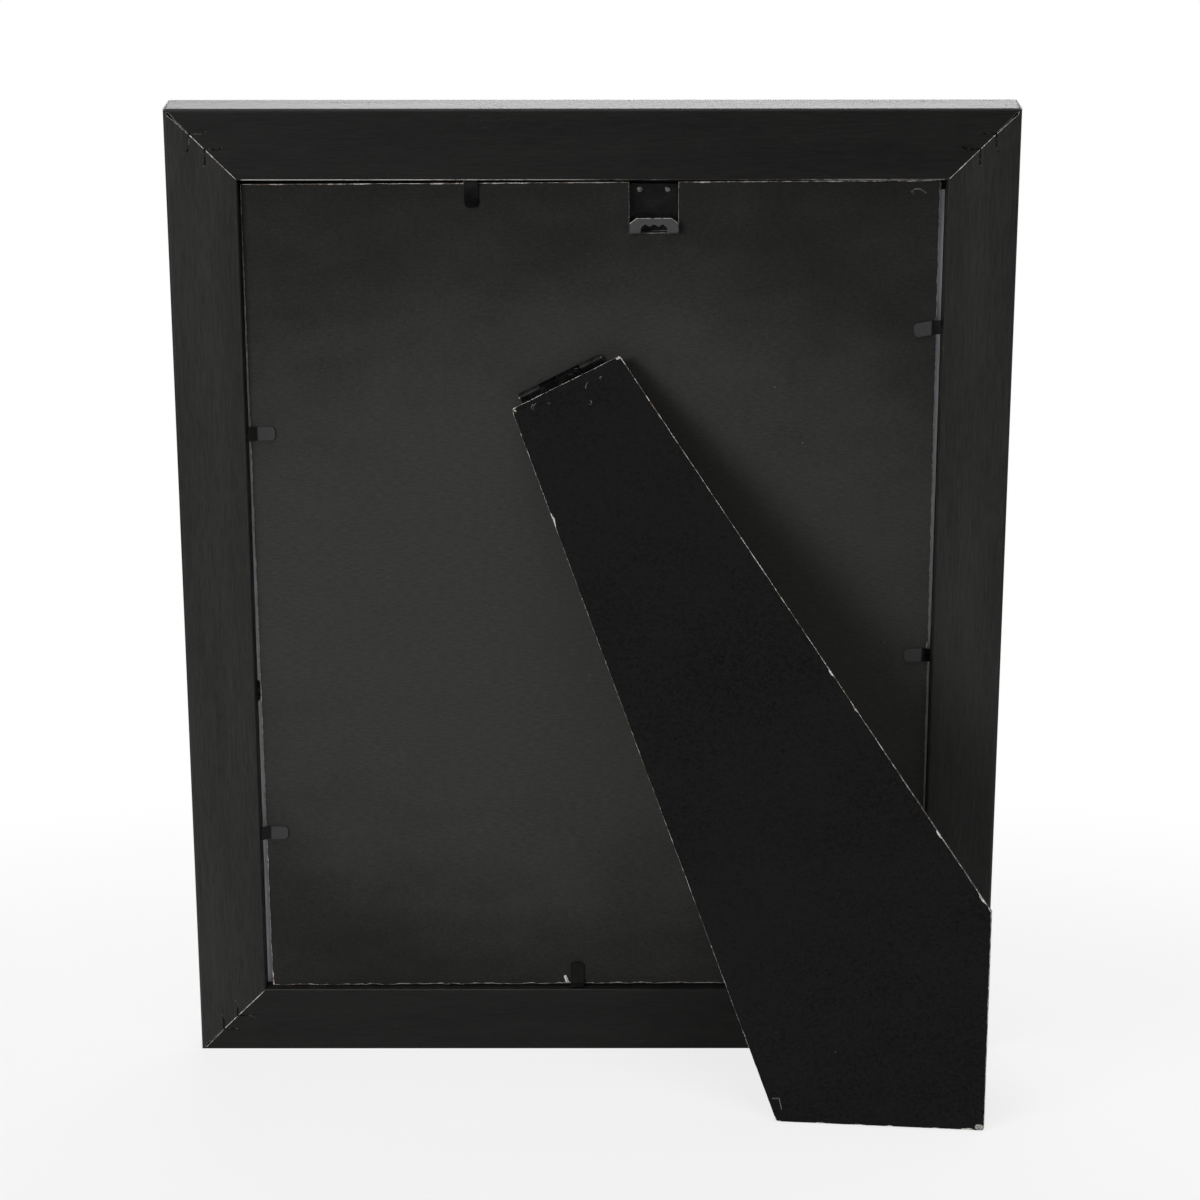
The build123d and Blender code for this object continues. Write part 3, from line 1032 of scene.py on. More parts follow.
class Band(Recipe):
    """Flat strip set on edge along flat paths, as a nail or a prong is."""

    def __init__(self) -> None:
        """Build the tree."""
        kinds = dict.fromkeys(("Thickness", "Height"), "NodeSocketFloat")
        super().__init__("band_along_path", kinds | {"Material": "NodeSocketMaterial"})
        path = {"Mesh": self.source["Geometry"]}
        line = {"Curve": self.add("GeometryNodeMeshToCurve", None, path).outputs[0]}
        curve = self.add("GeometryNodeSetCurveNormal", {"mode": "Z_UP"}, line).outputs[0]
        sizes = {"Width": self.source["Thickness"], "Height": self.source["Height"]}
        section = self.add("GeometryNodeCurvePrimitiveQuadrilateral", None, sizes).outputs[0]
        links = {"Curve": curve, "Profile Curve": section, "Fill Caps": True}
        self.end(self.add("GeometryNodeCurveToMesh", None, links).outputs[0])


class Rivets(Recipe):
    """Flat-headed rivets on points, each a shank along Z with a low domed head on top."""

    def __init__(self) -> None:
        """Build the tree."""
        sizes = ("Shank Radius", "Shank Length", "Head Radius", "Head Height")
        kinds = dict.fromkeys(sizes, "NodeSocketFloat")
        super().__init__("rivets_on_points", kinds | {"Material": "NodeSocketMaterial"})
        shank_radius, length, head_radius, height = (self.source[size] for size in sizes)
        drum = {"Vertices": 20, "Radius": shank_radius, "Depth": length}
        shank = self.add("GeometryNodeMeshCylinder", None, drum).outputs[0]
        half = Field(self, length) * -0.5
        sunk = self.add("ShaderNodeCombineXYZ", None, {"Z": half}).outputs[0]
        moved = {"Geometry": shank, "Translation": sunk}
        shank = self.add("GeometryNodeTransform", None, moved).outputs[0]
        globe = {"Segments": 24, "Rings": 10, "Radius": 1.0}
        ball = self.add("GeometryNodeMeshUVSphere", None, globe).outputs[0]
        radii = {"X": head_radius, "Y": head_radius, "Z": height}
        scale = self.add("ShaderNodeCombineXYZ", None, radii).outputs[0]
        dome = {"Geometry": ball, "Scale": scale}
        head = self.add("GeometryNodeTransform", None, dome).outputs[0]
        join = self.add("GeometryNodeJoinGeometry")
        for part in (shank, head):
            self.tree.links.new(part, join.inputs[0])
        self.scatter(join.outputs[0], {})


class Crumbs(Recipe):
    """Loose crumbs and fibre ends on points of a worn edge."""

    def __init__(self) -> None:
        """Build the tree."""
        kinds = dict.fromkeys(("Share", "Smallest", "Largest"), "NodeSocketFloat")
        kinds |= {"Seed": "NodeSocketInt", "Material": "NodeSocketMaterial"}
        super().__init__("crumbs_on_points", kinds)
        ball = {"Radius": 1.0, "Subdivisions": 1}
        grain = self.add("GeometryNodeMeshIcoSphere", None, ball).outputs[0]
        small, large = self.cube("Smallest"), self.cube("Largest")
        varied = {
            "Selection": self.random("BOOLEAN", {"Probability": self.source["Share"]}),
            "Rotation": self.random("FLOAT_VECTOR", {0: (0, 0, 0), 1: (math.tau,) * 3}),
            "Scale": self.random("FLOAT_VECTOR", {0: small, 1: large}),
        }
        self.scatter(grain, varied)

    def cube(self, size: str) -> Socket:
        """Vector with a named input on every axis."""
        axes = dict.fromkeys("XYZ", self.source[size])
        return self.add("ShaderNodeCombineXYZ", None, axes).outputs[0]

    def random(self, kind: str, limits: dict) -> Socket:
        """Random value of a kind for each point, from the seed."""
        inputs = {"Seed": self.source["Seed"]} | limits
        node = self.add("FunctionNodeRandomValue", {"data_type": kind}, inputs)
        return next(out for out in node.outputs if out.enabled)


@dataclass(frozen=True)
class Wear:
    """How widely the paint is rubbed off along an edge, in millimetres.

    A chip is (x, z, radius, width).
    """

    least: float
    usual: float
    most: float
    period: float
    seed: float
    fineness: float = 3.7
    chips: tuple[tuple[float, float, float, float], ...] = ()

    def width(self, point: Vector, share: float = 1.0) -> float:
        """Worn width at an upright point.

        Args:
            point: The point.
            share: Share of the usual wear.

        Returns:
            The width.
        """
        where = point / self.period + Vector((self.seed, self.seed * 0.7, self.seed * 1.3))
        broad = noise.noise(where)
        fine = noise.noise(where * self.fineness)
        worn = self.usual * share * (0.75 + 0.9 * broad + 0.6 * fine)
        for x, z, radius, depth in self.chips:
            away = math.hypot(point.x - x, point.z - z) / radius
            if away < 1:
                worn = max(worn, depth * (1 - away * away) * (0.8 + 0.5 * fine))
        return min(self.most, max(self.least, worn))


def faces_out(normal: Vector) -> bool:
    """Whether an upright normal points out of the frame's back."""
    return normal.y > 0.999


def lies_flat(normal: Vector) -> bool:
    """Whether an upright normal lies in the frame's plane."""
    return abs(normal.y) < 0.01


def is_mitre(normal: Vector) -> bool:
    """Whether an upright normal is a mitre face's."""
    return lies_flat(normal) and abs(abs(normal.x) - abs(normal.z)) < 0.02


@dataclass
class MitredRails:
    """Four painted rails whose mitred joints show bare wood."""

    joint: Wear = Wear(0.03, 0.12, 0.26, period=2.2, seed=3.1)
    open_from: float = 2.0
    open_length: float = 9.0
    open_width: float = 0.3
    most: float = 0.6
    step: float = 0.5
    arris: float = 0.45
    slack: float = 0.05
    eased: tuple[float, float] = (0.05, 0.995)

    def joint_width(self, point: Vector) -> float:
        """Half the width of a mitre's open line at an upright point."""
        corner = min(FRAME_WIDTH / 2 - abs(point.x), point.z, FRAME_HEIGHT - point.z)
        opened = max(0.0, 1 - max(0.0, corner - self.open_from) / self.open_length)
        return min(self.most, self.joint.width(point) + self.open_width * opened * opened)

    def rub(self, solid: Solid) -> None:
        """Give the eased arris round the rabbet the third material."""
        across, tall = FRAME_WIDTH / 2 - RAIL_WIDTH, FRAME_HEIGHT / 2 - RAIL_WIDTH
        steep, level = self.eased
        for face in solid.bm.faces:
            place = STANCE.read(face.calc_center_median())
            edge = max(abs(place.x) - across, abs(place.z - FRAME_HEIGHT / 2) - tall)
            near = -self.slack < edge < self.arris and place.y > -self.arris
            if near and steep < STANCE.upright(face.normal).y < level:
                face.material_index = 2

    def build(self, paints_with_shaded_rails: dict[Grain, Material], bare: Material, rubbed: Material) -> None:
        """Make the four rails.

        Args:
            paints_with_shaded_rails: Painted wood for each way of the grain, the rails across
                painted darker as shade.
            bare: Bare wood of the joints.
            rubbed: Thin paint on the arris round the rabbet, rubbed grey and painted lighter along
                the top as a highlight.
        """
        rails = {
            "top_rail": Grain.ACROSS,
            "bottom_rail": Grain.ACROSS,
            "left_stile": Grain.UPRIGHT,
            "right_stile": Grain.UPRIGHT,
        }
        for node, grain in rails.items():
            solid = Solid(node)
            mitres = solid.between(faces_out, is_mitre)
            solid.wear(mitres, self.joint_width, self.most, self.step)
            self.rub(solid)
            mesh = solid.mesh(node + "_worn")
            bevel = Workshop.worn_bevel(self.most)
            obj = Workshop.piece("painted_" + node, mesh, [paints_with_shaded_rails[grain], bare, rubbed], bevel)
            Workshop.mount(obj, FIXED_BODY, "painted_wood", node)


@dataclass
class CornerNails:
    """Two V-nails in each mitre, driven a little below the paint."""

    insets: tuple[float, float] = (7.2, 11.7)
    arm: float = 3.9
    flare: float = 1.5
    flare_angle: float = 28.0
    thickness: float = 0.42
    height: float = 7.6
    sunk: float = 0.16

    def paths(self) -> list[list[Point]]:
        """Bent centre lines of the eight nails, flat, with X to the side and Y up."""
        flare = math.radians(self.flare_angle)
        out = self.arm + self.flare * math.cos(flare)
        aside = self.flare * math.sin(flare)
        bend = [(out, -aside), (self.arm, 0), (0, 0), (0, self.arm), (-aside, out)]
        found = []
        for inset, across, up in product(self.insets, (-1, 1), (-1, 1)):
            x = across * (FRAME_WIDTH / 2 - inset)
            z = FRAME_HEIGHT / 2 + up * (FRAME_HEIGHT / 2 - inset)
            found.append([(x - across * a, z - up * b, 0.0) for a, b in bend])
        return found

    def build(self, steel: Material) -> None:
        """Make the nails of one steel."""
        values = {"Thickness": self.thickness, "Height": self.height, "Material": steel}
        mesh = Band().run("corner_nails", edge_mesh("nail_paths", self.paths()), values)
        for vertex in mesh.vertices:
            x, z, out = vertex.co
            vertex.co = STANCE.place((x, out - self.height / 2 - self.sunk, z))
        mesh.flip_normals()
        obj = Workshop.piece("corner_nails", mesh, [steel])
        Workshop.mount(obj, FIXED_BODY, "nail_steel", "corner_v_nails")


BOARD_SCUFF = (
    ((-92.3, -2.5, 272.9), (-93.4, -2.5, 273.7), 0.12, 0.10),
    ((-93.4, -2.5, 273.7), (-94.9, -2.5, 273.6), 0.16, 0.14),
    ((-94.9, -2.5, 273.6), (-96.5, -2.5, 272.5), 0.10, 0.10),
    ((-92.3, -2.5, 272.9), (-92.9, -2.5, 272.2), 0.14, 0.08),
    ((8.9, -2.5, 24.0), (8.0, -2.5, 21.6), 0.4, 0.8),
)


@dataclass
class BackBoard:
    """Fibreboard back whose cut edges are rubbed to bare fibre."""

    edge: Wear = Wear(
        0.04,
        0.24,
        2.0,
        period=4.0,
        seed=8.3,
        chips=(
            (8.0, 21.5, 1.0, 0.9),
            (100.6, 71.5, 1.2, 0.7),
            (-101.3, 133.5, 1.4, 0.7),
            (-100.8, 234.2, 1.0, 0.9),
            (36.6, 275.9, 1.6, 0.6),
            (-93.5, 276.1, 1.2, 0.5),
        ),
    )
    notch: tuple[float, float, float, float] = (-26.5, -9.0, 259.0, 274.5)
    notch_share: float = 0.2
    side_edge: float = 99.0
    side_share: float = 0.6
    low_edge: float = 25.0
    low_share: float = 2.1
    most: float = 2.0
    step: float = 0.6
    crumb_share: float = 0.1

    def width(self, point: Vector) -> float:
        """Worn width at an upright point: most along the foot, least round the hanger's notch."""
        left, right, low, high = self.notch
        share = 1.0
        if point.z < self.low_edge:
            share = self.low_share
        elif abs(point.x) > self.side_edge:
            share = self.side_share
        elif left < point.x < right and low < point.z < high:
            share = self.notch_share
        return self.edge.width(point, share)

    def build(self, face: Material, bare: Material) -> None:
        """Make the board of its face and bare materials, and the crumbs on its edges."""
        solid = Solid("back_board")
        solid.fill_holes(STANCE.outward)
        solid.wear(solid.between(faces_out, lies_flat), self.width, self.most, self.step)
        crumbs = Workshop.crumbs("board_crumbs", solid.worn, bare, self.crumb_share, seed=4)
        mesh, bevel = solid.mesh("board_worn"), Workshop.worn_bevel(self.most)
        obj = Workshop.piece("coated_back_board", mesh, [face, bare], bevel)
        Workshop.mount(obj, FIXED_BODY, "black_board", "back_board")
        Workshop.mount(crumbs, FIXED_BODY, "black_board")


@dataclass(frozen=True)
class HingeSide:
    """Millimetres of one side of the hinge: X along the pin, Y down the leaf and Z outward."""

    axes: Matrix
    origin: Vector

    @classmethod
    def of_leg(cls) -> "HingeSide":
        """Read the leg's side off its joint and its outer face."""
        joint = next(j for j in frame["joints"] if j["name"] == "leg_hinge")
        solid = Solid("easel_leg")
        faces = (face for face in solid.bm.faces if face.normal.y > 0.5)
        outer = max(faces, key=lambda face: face.calc_area()).normal.copy()
        solid.bm.free()
        along = -Vector(joint["axis"]).normalized()
        return cls.facing(outer, along, Vector(joint["pos_m"]))

    @classmethod
    def facing(cls, outer: Vector, along: Vector, origin: Vector) -> "HingeSide":
        """Side that faces one way, with its X along the pin from an origin on it."""
        return cls(Matrix((along, outer.cross(along), outer)).transposed(), origin)

    @property
    def matrix(self) -> Matrix:
        """Transform from these millimetres to standing metres."""
        turn = self.axes.to_4x4()
        turn.translation = self.origin
        return turn @ Matrix.Scale(MM, 4)

    def read(self, point: Vector) -> Vector:
        """Point here, in millimetres, of a standing place in metres."""
        return self.axes.inverted() @ (point - self.origin) / MM

    def place(self, point: Sequence[float]) -> Vector:
        """Standing place, in metres, of a point here in millimetres."""
        return self.origin + self.axes @ (Vector(point) * MM)

    def upright(self, point: Sequence[float]) -> Point:
        """Upright millimetres of a point here."""
        return tuple(STANCE.read(self.place(point)))


@dataclass
class EaselLeg:
    """Fibreboard leg, rubbed along its long edges and chipped at its corners."""

    side: HingeSide
    edge: Wear = Wear(
        0.03,
        0.13,
        1.1,
        period=3.4,
        seed=1.9,
        chips=(
            (19.2, 37.2, 1.9, 0.85),
            (-35.7, 112.5, 1.3, 0.7),
            (-37.6, 124.6, 1.2, 0.7),
            (-43.5, 167.5, 1.3, 0.7),
            (-46.5, 189.5, 2.0, 0.6),
            (-14.0, 247.6, 2.0, 0.6),
            (-6.0, 243.2, 1.2, 0.5),
            (6.0, 237.4, 1.0, 0.5),
            (14.0, 233.5, 1.2, 0.45),
            (24.0, 228.7, 1.2, 0.4),
        ),
    )
    left_share: float = 0.5
    right_share: float = 1.1
    top_share: float = 0.75
    foot_share: float = 0.65
    corners: tuple[tuple[float, float], ...] = (
        (16.2, 2.6),
        (-18.9, 2.5),
        (-47.1, 194.3),
        (-17.8, 249.8),
        (35.5, 223.0),
    )
    corner_width: float = 0.22
    corner_reach: float = 1.0
    corner_slope: float = 0.3
    top: float = 3.0
    foot: float = 222.0
    length: float = 250.0
    band: float = 12.0
    most: float = 1.2
    step: float = 0.6
    crumb_share: float = 0.12

    def width(self, point: Vector) -> float:
        """Worn width at an upright point, even at the corners and most down the right edge."""
        place = self.side.read(STANCE.place(point))
        share = self.left_share if place.x > 0 else self.right_share
        if place.y < self.top:
            share = self.top_share
        elif place.y > self.foot:
            share = self.foot_share
        away = min(math.hypot(place.x - x, place.y - y) for x, y in self.corners)
        if away < self.corner_reach:
            return self.corner_width
        rising = self.corner_width + (away - self.corner_reach) * self.corner_slope
        return min(rising, self.edge.width(Vector((place.x, 0, place.y)), share))

    def build(self, face: Material, bare: Material) -> None:
        """Make the leg of its face and bare materials, and the crumbs on its edges."""
        solid = Solid("easel_leg")
        downward, outward = self.side.axes.col[1], self.side.axes.col[2]
        holes = solid.fill_holes(outward)
        LOG.info("leg: %d rivet holes filled", holes)
        down = downward * self.band * MM
        solid.slice(self.side.origin + down, down, int(self.length / self.band))
        out = STANCE.upright(outward)
        edges = solid.between(lambda n: n.dot(out) > 0.9999, lambda n: abs(n.dot(out)) < 0.02)
        solid.wear(edges, self.width, self.most, self.step)
        crumbs = Workshop.crumbs("leg_crumbs", solid.worn, bare, self.crumb_share, seed=11)
        mesh, bevel = solid.mesh("leg_worn"), Workshop.worn_bevel(self.most)
        obj = Workshop.piece("coated_easel_leg", mesh, [face, bare], bevel)
        Workshop.mount(obj, LEG_BODY, "black_board", "easel_leg")
        Workshop.mount(crumbs, LEG_BODY, "black_board")


def leg_marks(side: HingeSide) -> tuple[tuple[Point, Point, float, float], ...]:
    """Bent scratch by the leg's heel and torn corners: (start, end, half width, brightness)."""
    rows = (
        ((33.8, 216.7), (32.0, 217.5), 0.09, 0.12),
        ((32.0, 217.5), (32.7, 220.6), 0.09, 0.14),
        ((-17.4, 248.8), (-16.8, 248.5), 0.75, 0.38),
        ((-18.6, 2.8), (-18.1, 2.8), 0.28, 0.6),
        ((15.9, 3.0), (15.7, 3.4), 0.22, 0.4),
    )
    skin = 4.3
    return tuple(
        (side.upright((*start, skin)), side.upright((*end, skin)), half_width, shade)
        for start, end, half_width, shade in rows
    )


@dataclass
class ClinchMarks:
    """Rivets of both leaves, with blisters and tears where they are clinched under the leg's face;
    the tears' pale colour is partly a painted highlight.

    A tear is (x, y, radius, start and end in degrees).
    """

    side: HingeSide
    shank: float = 0.7
    head: tuple[float, float] = (1.1, 0.3)
    leaf: float = 0.5
    knuckle: float = 1.3
    sheet: float = 3.0
    hidden: float = 0.2
    places: tuple[tuple[float, float], ...] = (
        (11.0, 5.8),
        (-11.0, 5.8),
        (5.6, 5.8),
        (-5.6, 5.8),
        (5.6, 10.9),
        (-5.6, 10.9),
    )
    blister: tuple[float, float] = (1.5, 0.14)
    blister_depth: float = 0.4
    tears: tuple[tuple[float, float, float, float, float], ...] = (
        (9.0, 5.8, 1.75, 272.0, 352.0),
        (9.3, 5.9, 2.15, 290.0, 328.0),
        (-7.6, 6.9, 1.6, 275.0, 350.0),
        (-5.3, 10.6, 0.8, 40.0, 105.0),
        (-4.9, 10.9, 0.9, 165.0, 215.0),
        (5.6, 5.4, 0.35, 0.0, 130.0),
        (-11.4, 5.8, 0.35, 200.0, 400.0),
    )
    tear_width: float = 0.2
    tear_height: float = 0.16
    tear_steps: int = 12

    def domes(
        self,
        name: str,
        material: Material,
        head: tuple[float, float],
        length: float,
        level: float,
        flip: int = 1,
    ) -> Mesh:
        """Domed heads on shanks, one at each place of a leaf.

        Args:
            name: Mesh name.
            material: Their material.
            head: Radius and height of the heads.
            length: Length of the shanks.
            level: Height of the heads' undersides over the pin's middle.
            flip: 1 if the heads point outward, -1 if towards the other leaf.

        Returns:
            The mesh in the hinge's millimetres.
        """
        values = {
            "Shank Radius": self.shank,
            "Shank Length": length,
            "Head Radius": head[0],
            "Head Height": head[1],
            "Material": material,
        }
        points = point_mesh(name, [(x, y * flip, 0.0) for x, y in self.places])
        made = Rivets().run(name, points, values)
        turn = Matrix.Rotation(0.0 if flip > 0 else math.pi, 4, "X")
        made.transform(Matrix.Translation((0, 0, level)) @ turn)
        return made

    def rivets(self, metal: Material) -> None:
        """Make the rivets of both leaves, of one metal."""
        along, out = self.side.axes.col[0], STANCE.outward
        board = HingeSide.facing(out, along, self.side.origin)
        length = self.sheet + self.leaf
        rows = (
            ("leg", LEG_BODY, self.side, -1, self.knuckle - self.leaf, length - self.hidden),
            ("board", FIXED_BODY, board, 1, self.leaf - self.knuckle, length),
        )
        for name, body, side, flip, level, shank in rows:
            mesh = self.domes(name + "_rivets", metal, self.head, shank, level, flip)
            mesh.transform(side.matrix)
            obj = Workshop.piece(name + "_leaf_rivets", mesh, [metal])
            Workshop.mount(obj, body, "black_metal", name + "_hinge_rivets")

    def arcs(self) -> list[list[Point]]:
        """Centre lines of the tears."""
        found = []
        for x, y, radius, start, end in self.tears:
            stride = (end - start) / self.tear_steps
            turns = [math.radians(start + stride * i) for i in range(self.tear_steps + 1)]
            arc = [(x + radius * math.cos(t), y + radius * math.sin(t), 0.0) for t in turns]
            found.append(arc)
        return found

    def build(self, metal: Material, face: Material, torn: Material) -> None:
        """Make the rivets, blisters and torn crescents, pale partly as a painted highlight.

        Args:
            metal: Lacquered steel of the rivets.
            face: The leg's face.
            torn: Rubbed paper of the crescents, pale partly as a painted highlight.
        """
        self.rivets(metal)
        skin = self.knuckle + self.sheet
        mesh = self.domes("blisters", face, self.blister, self.blister_depth, skin)
        mesh.transform(self.side.matrix)
        obj = Workshop.piece("clinch_blisters", mesh, [face], smooth_angle=60)
        Workshop.mount(obj, LEG_BODY, "black_board")
        values = {"Thickness": self.tear_width, "Height": self.tear_height * 2, "Material": torn}
        mesh = Band().run("clinch_tears", edge_mesh("tear_paths", self.arcs()), values)
        lifted = Matrix.Translation((0, 0, skin + self.blister[1] * 0.5))
        mesh.transform(self.side.matrix @ lifted)
        obj = Workshop.piece("clinch_tears", mesh, [torn])
        Workshop.mount(obj, LEG_BODY, "black_board")


@dataclass
class Metalwork:
    """Tabs, hanger and hinge, their cut edges eased."""

    ease: float = 0.08
    rubbed_width: float = 0.13
    raised: float = -1.2
    highlight_rise: float = 0.3
    smooth_angle: float = 35.0

    def build(self, metals: dict[str, Material]) -> None:
        """Make the metal pieces.

        Args:
            metals: Materials by the keys of METALS.
        """
        tabs = sorted(body for body in frame["bodies"] if body.endswith("_end"))
        rows = [(body.removesuffix("_end"), body, "tabs", "black_metal") for body in tabs]
        rows += [
            ("board_hinge_leaf", FIXED_BODY, "board_leaf", "black_metal"),
            ("leg_hinge_leaf", LEG_BODY, "leg_leaf", "black_metal"),
            ("hinge_pin", FIXED_BODY, "pin", "nail_steel"),
        ]
        bevel = Workshop.eased_bevel(self.ease)
        for node, body, key, slot in rows:
            mesh = Solid(node).mesh(node)
            obj = Workshop.piece("eased_" + node, mesh, [metals[key]], bevel, self.smooth_angle)
            Workshop.mount(obj, body, slot, node)
        self.hanger([metals["hanger"], metals["rubbed"]])
        dress(frame["nodes"]["tab_anchors"].data, [metals["tabs"]])

    def hanger(self, materials: Sequence[Material]) -> None:
        """Make the hanger: its eased edges take the second material as wear, and its raised plate's
        upward cut faces as a painted highlight.
        """
        solid = Solid("hanger")
        # Painted highlight: the raised plate's cut faces that face up take the bare steel, where
        # light from above falls.
        for face in solid.bm.faces:
            normal = STANCE.upright(face.normal)
            lit_cut_edge = lies_flat(normal) and normal.z > self.highlight_rise
            if lit_cut_edge and STANCE.read(face.calc_center_median()).y > self.raised:
                face.material_index = 1
        bevel = Workshop.eased_bevel(self.rubbed_width) | {"material": 1}
        mesh = solid.mesh("hanger")
        obj = Workshop.piece("eased_hanger", mesh, materials, bevel, self.smooth_angle)
        Workshop.mount(obj, FIXED_BODY, "black_metal", "hanger")


@dataclass
class Glazing:
    """Glass with its arrised edges and the pale sheet behind it."""

    arris: float = 0.25
    clear: float = 0.02

    def build(self, glass: Material, paper: Material) -> None:
        """Make the glass, thinned a hair so that no faces coincide, and dress the sheet."""
        solid = Solid("glazing")
        out = STANCE.outward
        middle = sum((v.co for v in solid.bm.verts), Vector()) / len(solid.bm.verts)
        for vertex in solid.bm.verts:
            side = math.copysign(self.clear * MM, (vertex.co - middle).dot(out))
            vertex.co -= out * side
        bevel = Workshop.eased_bevel(self.arris, segments=1)
        obj = Workshop.piece("arrised_glass", solid.mesh("glass"), [glass], bevel)
        Workshop.mount(obj, FIXED_BODY, "clear_glass", "glazing")
        dress(frame["nodes"]["insert_sheet"].data, [paper])


@dataclass(frozen=True)
class Lamp:
    """A soft lamp: its place, the point it faces, its width and height, and its watts."""

    name: str
    place: Point
    aim: Point
    size: tuple[float, float]
    power: float

    def hang(self) -> None:
        """Hang the lamp."""
        data = bpy.data.lights.new(self.name, "AREA")
        data.shape = "RECTANGLE"
        data.size, data.size_y = self.size
        data.energy = self.power
        obj = in_scene(self.name, data)
        obj.location = self.place
        ahead = Vector(self.aim) - Vector(self.place)
        obj.rotation_euler = ahead.to_track_quat("-Z", "Y").to_euler()


@dataclass
class Studio:
    """Pale floor, soft lamps, white surround and the camera."""

    eye: Point = (-0.00258477, 0.98857202, 0.27868087)
    forward: Point = (0.000510567, -0.991295548, -0.13165438)
    right: Point = (-0.999999731, -0.000436808, -0.000589125)
    lens: float = 100.5
    floor_radius: float = 0.58
    floor_tone: float = 0.9
    floor_far_tone: float = 0.1
    shadow_share: float = 0.22
    fade_start: float = 0.22
    fade_end: float = 0.52
    fill: float = 0.11
    dark_side: float = 0.12
    horizon: tuple[float, float] = (-0.06, 0.12)
    bright_side: tuple[float, float] = (0.55, -0.1)
    lamps: tuple[Lamp, ...] = (
        Lamp("key", (1.12, 1.52, 0.42), (0, 0, 0.14), (0.8, 0.8), 19.5),
        Lamp("over", (0.1, 0.5, 1.2), (0, 0.3, 0), (0.5, 0.5), 5.0),
        Lamp("rear", (0.0, -1.15, 0.8), (0, 0, 0.25), (0.9, 0.28), 4.9),
        Lamp("front", (-0.6, -1.7, 1.0), (0, 0, 0.15), (2.0, 2.0), 14.0),
        Lamp("side", (-1.7, -0.15, 0.5), (0, 0, 0.15), (1.0, 1.0), 7.0),
    )

    def camera(self) -> None:
        """Place the camera where the photograph was taken from."""
        data = bpy.data.cameras.new("camera")
        data.lens = self.lens
        data.sensor_width = 36
        obj = in_scene("camera", data)
        across, ahead = Vector(self.right), Vector(self.forward)
        up = across.cross(ahead)
        obj.matrix_world = Matrix((across, up, -ahead)).transposed().to_4x4()
        obj.location = self.eye
        bpy.context.scene.camera = obj

    def floor(self) -> None:
        """Lay a round floor that turns white with distance and keeps the shadow near the frame."""
        bm = bmesh.new()
        bmesh.ops.create_circle(bm, cap_ends=True, segments=96, radius=self.floor_radius)
        mesh = bpy.data.meshes.new("floor")
        bm.to_mesh(mesh)
        bm.free()
        s = Surface("floor")
        place = s.add("ShaderNodeTexCoord").outputs["Object"]
        distance = Field(s, s.vectors("LENGTH", place).outputs["Value"])
        away = distance.step(self.fade_start, self.fade_end)
        whiteness = (1 - self.shadow_share) + away * self.shadow_share
        shade = s.mix(is_ray(s, "Glossy") * away, grey(self.floor_tone), grey(self.floor_far_tone))
        plain = s.add("ShaderNodeBsdfDiffuse", None, {"Color": shade}).outputs[0]
        glow = {"Color": grey(1.0), "Strength": 1.0}
        white = s.add("ShaderNodeEmission", None, glow).outputs[0]
        mixed = s.add("ShaderNodeMixShader", None, {0: seen_ray(s) * whiteness, 1: plain, 2: white})
        s.add("ShaderNodeOutputMaterial", None, {"Surface": mixed.outputs[0]})
        mesh.materials.append(s.material)
        in_scene("floor", mesh)

    def surround(self) -> None:
        """Make the world white to the camera, partly so in mirrors and an even fill elsewhere."""
        world = bpy.data.worlds.new("surround")
        world.use_nodes = True
        s = Nodes(world.node_tree)
        s.tree.nodes.clear()
        seen = seen_ray(s)
        ahead = s.add("ShaderNodeTexCoord").outputs["Generated"]
        parts = s.add("ShaderNodeSeparateXYZ", None, {0: ahead}).outputs
        rise, back = Field(s, parts["Z"]), Field(s, parts["Y"])
        lit = rise.step(*self.horizon) * back.step(*self.bright_side)
        mirrored = self.dark_side + (1 - self.dark_side) * lit
        level = is_ray(s, "Glossy") * (mirrored - self.fill) + self.fill
        level = seen + (1 - seen) * level
        light = s.add("ShaderNodeBackground", None, {"Color": grey(1.0), "Strength": level})
        s.add("ShaderNodeOutputWorld", None, {"Surface": light.outputs[0]})
        bpy.context.scene.world = world

    def build(self) -> None:
        """Set up the whole studio."""
        self.camera()
        self.floor()
        self.surround()
        for lamp in self.lamps:
            lamp.hang()
        bpy.context.scene.view_settings.view_transform = "Standard"


# The rails across take a darker copy of the stiles' paint: painted shade for the dimmer light they
# reflect.
PAINTS_WITH_SHADED_RAILS = {
    Grain.UPRIGHT: PaintedWood(Grain.UPRIGHT, dark=0.010, light=0.031),
    Grain.ACROSS: PaintedWood(Grain.ACROSS, dark=0.003, light=0.0125),
}
NAIL_STEEL = DullSteel("nail_steel", light=0.15, dark=0.002, bright_share=0.4, warmth=0.08)
BOARD_FACE = CoatedBoard(
    "coated_board",
    dark=0.013,
    light=0.045,
    emboss=0.045,
    roughness=0.57,
    specular=0.12,
    coarse=0.4,
    weft=0.24,
    # Painted pool of light on the board's middle.
    painted_light_pool=(10, 145, 165, 122),
    marks=BOARD_SCUFF,
)
BOARD_FIBRE = BareFibre("board_fibre", pale=(0.80, 0.79, 0.77, 1.0), brown_share=0.12)
LEG_FACE = CoatedBoard(
    "leg_board",
    dark=0.0,
    light=0.0105,
    emboss=0.07,
    roughness=0.63,
    specular=0.035,
    coarse=0.75,
    flecks=0.34,
    warmth=-0.005,
)
LEG_FIBRE = BareFibre("leg_fibre", pale=(0.78, 0.765, 0.74, 1.0), brown_share=0.15)
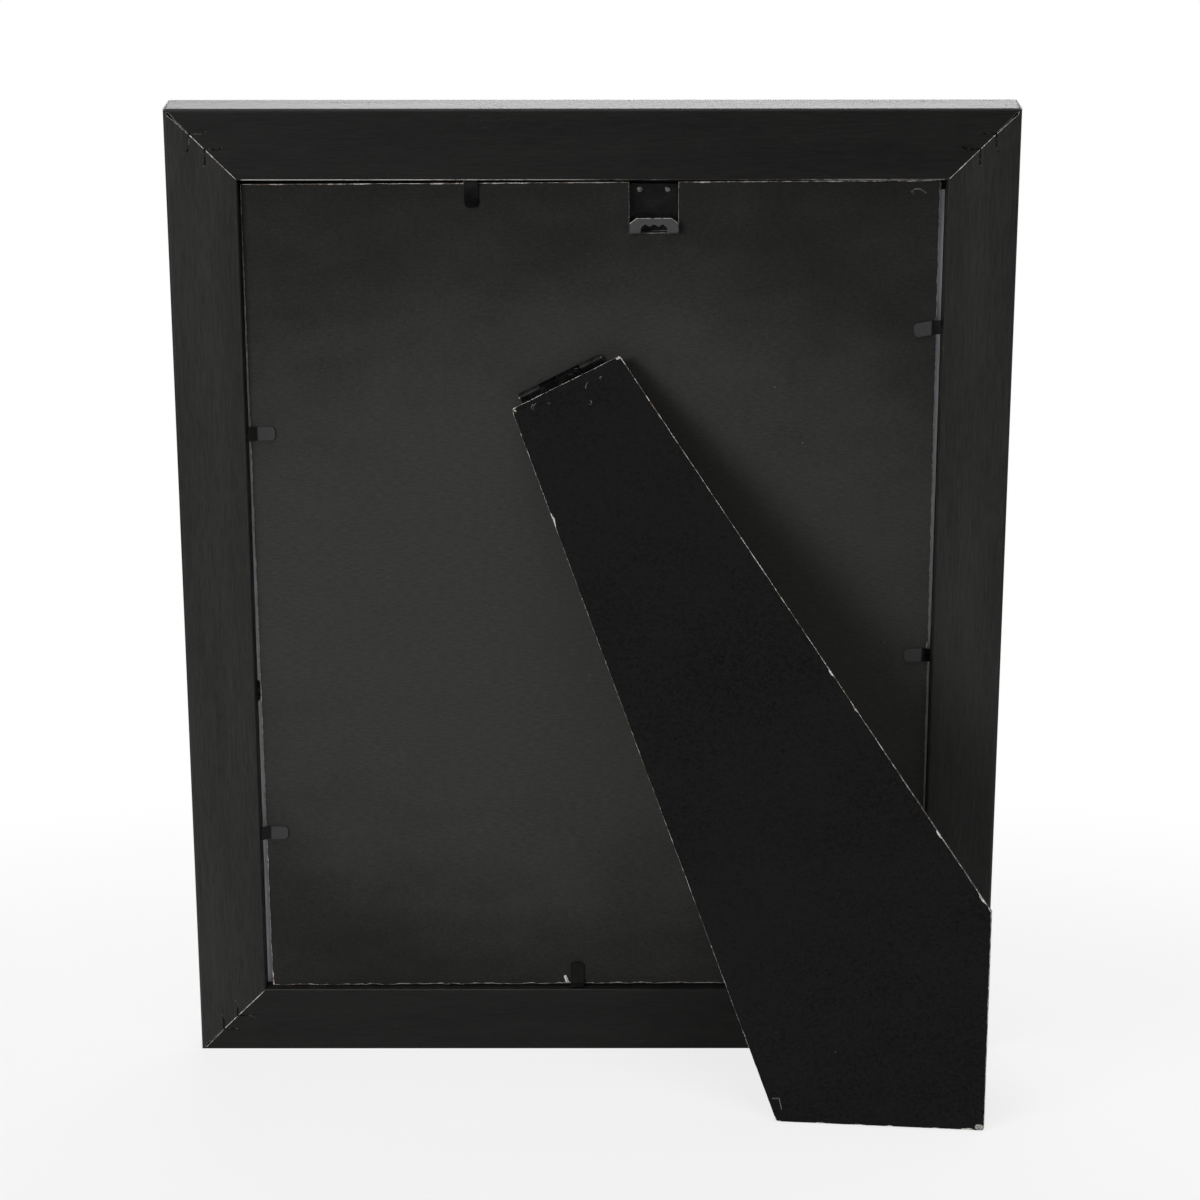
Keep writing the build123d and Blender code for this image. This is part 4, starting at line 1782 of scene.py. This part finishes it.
# Pale torn paper of the clinch crescents, partly a painted highlight on their ridges.
TORN_PAPER_HIGHLIGHT = BareFibre("torn_paper_highlight", pale=grey(0.16, 0.03), brown=grey(0.06))
METALS = {
    # The side tabs' blades are painted lighter as sheen.
    "tabs": LacqueredSteel(
        "black_lacquer",
        shade=0.003,
        roughness=0.2,
        specular=0.22,
        blades=(99.6, 98.9),
        worn=0.043,
    ),
    "board_leaf": LacqueredSteel("satin_lacquer", shade=0.008, roughness=0.28, specular=0.18),
    # The raised plate and its dimples are painted lighter as sheen and highlights.
    "hanger": LacqueredSteel(
        "hanger_lacquer",
        shade=0.007,
        roughness=0.24,
        specular=0.4,
        raised=-0.7,
        worn=0.06,
        highlight_spots=((-13.7, 273.1, 0.85), (-21.8, 273.1, 0.85)),
    ),
    # The leg's leaf takes a darker, less glossy copy of the leaf lacquer; its darker colour is
    # painted shade on the middle knuckle.
    "leg_leaf": LacqueredSteel(
        "dull_shaded_lacquer", shade=0.002, roughness=0.16, specular=0.05, rubbed=0.5
    ),
    "rubbed": RubbedEdge(),
    "pin": DullSteel("pin_steel"),
}


def main() -> None:
    """Build every piece in order and report it."""
    logging.basicConfig(level=logging.INFO, format="%(name)s: %(message)s")
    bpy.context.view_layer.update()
    Studio().build()
    paints_with_shaded_rails = {grain: paint.make() for grain, paint in PAINTS_WITH_SHADED_RAILS.items()}
    MitredRails().build(paints_with_shaded_rails, BareWood().make(), RubbedPaintHighlight().make())
    CornerNails().build(NAIL_STEEL.make())
    BackBoard().build(BOARD_FACE.make(), BOARD_FIBRE.make())
    side = HingeSide.of_leg()
    leg_face = replace(LEG_FACE, marks=leg_marks(side)).make()
    EaselLeg(side).build(leg_face, LEG_FIBRE.make())
    metals = {key: metal.make() for key, metal in METALS.items()}
    Metalwork().build(metals)
    ClinchMarks(side).build(metals["tabs"], leg_face, TORN_PAPER_HIGHLIGHT.make())
    Glazing().build(ClearGlass().make(), InsertPaper().make())


if __name__ == "__main__":
    main()
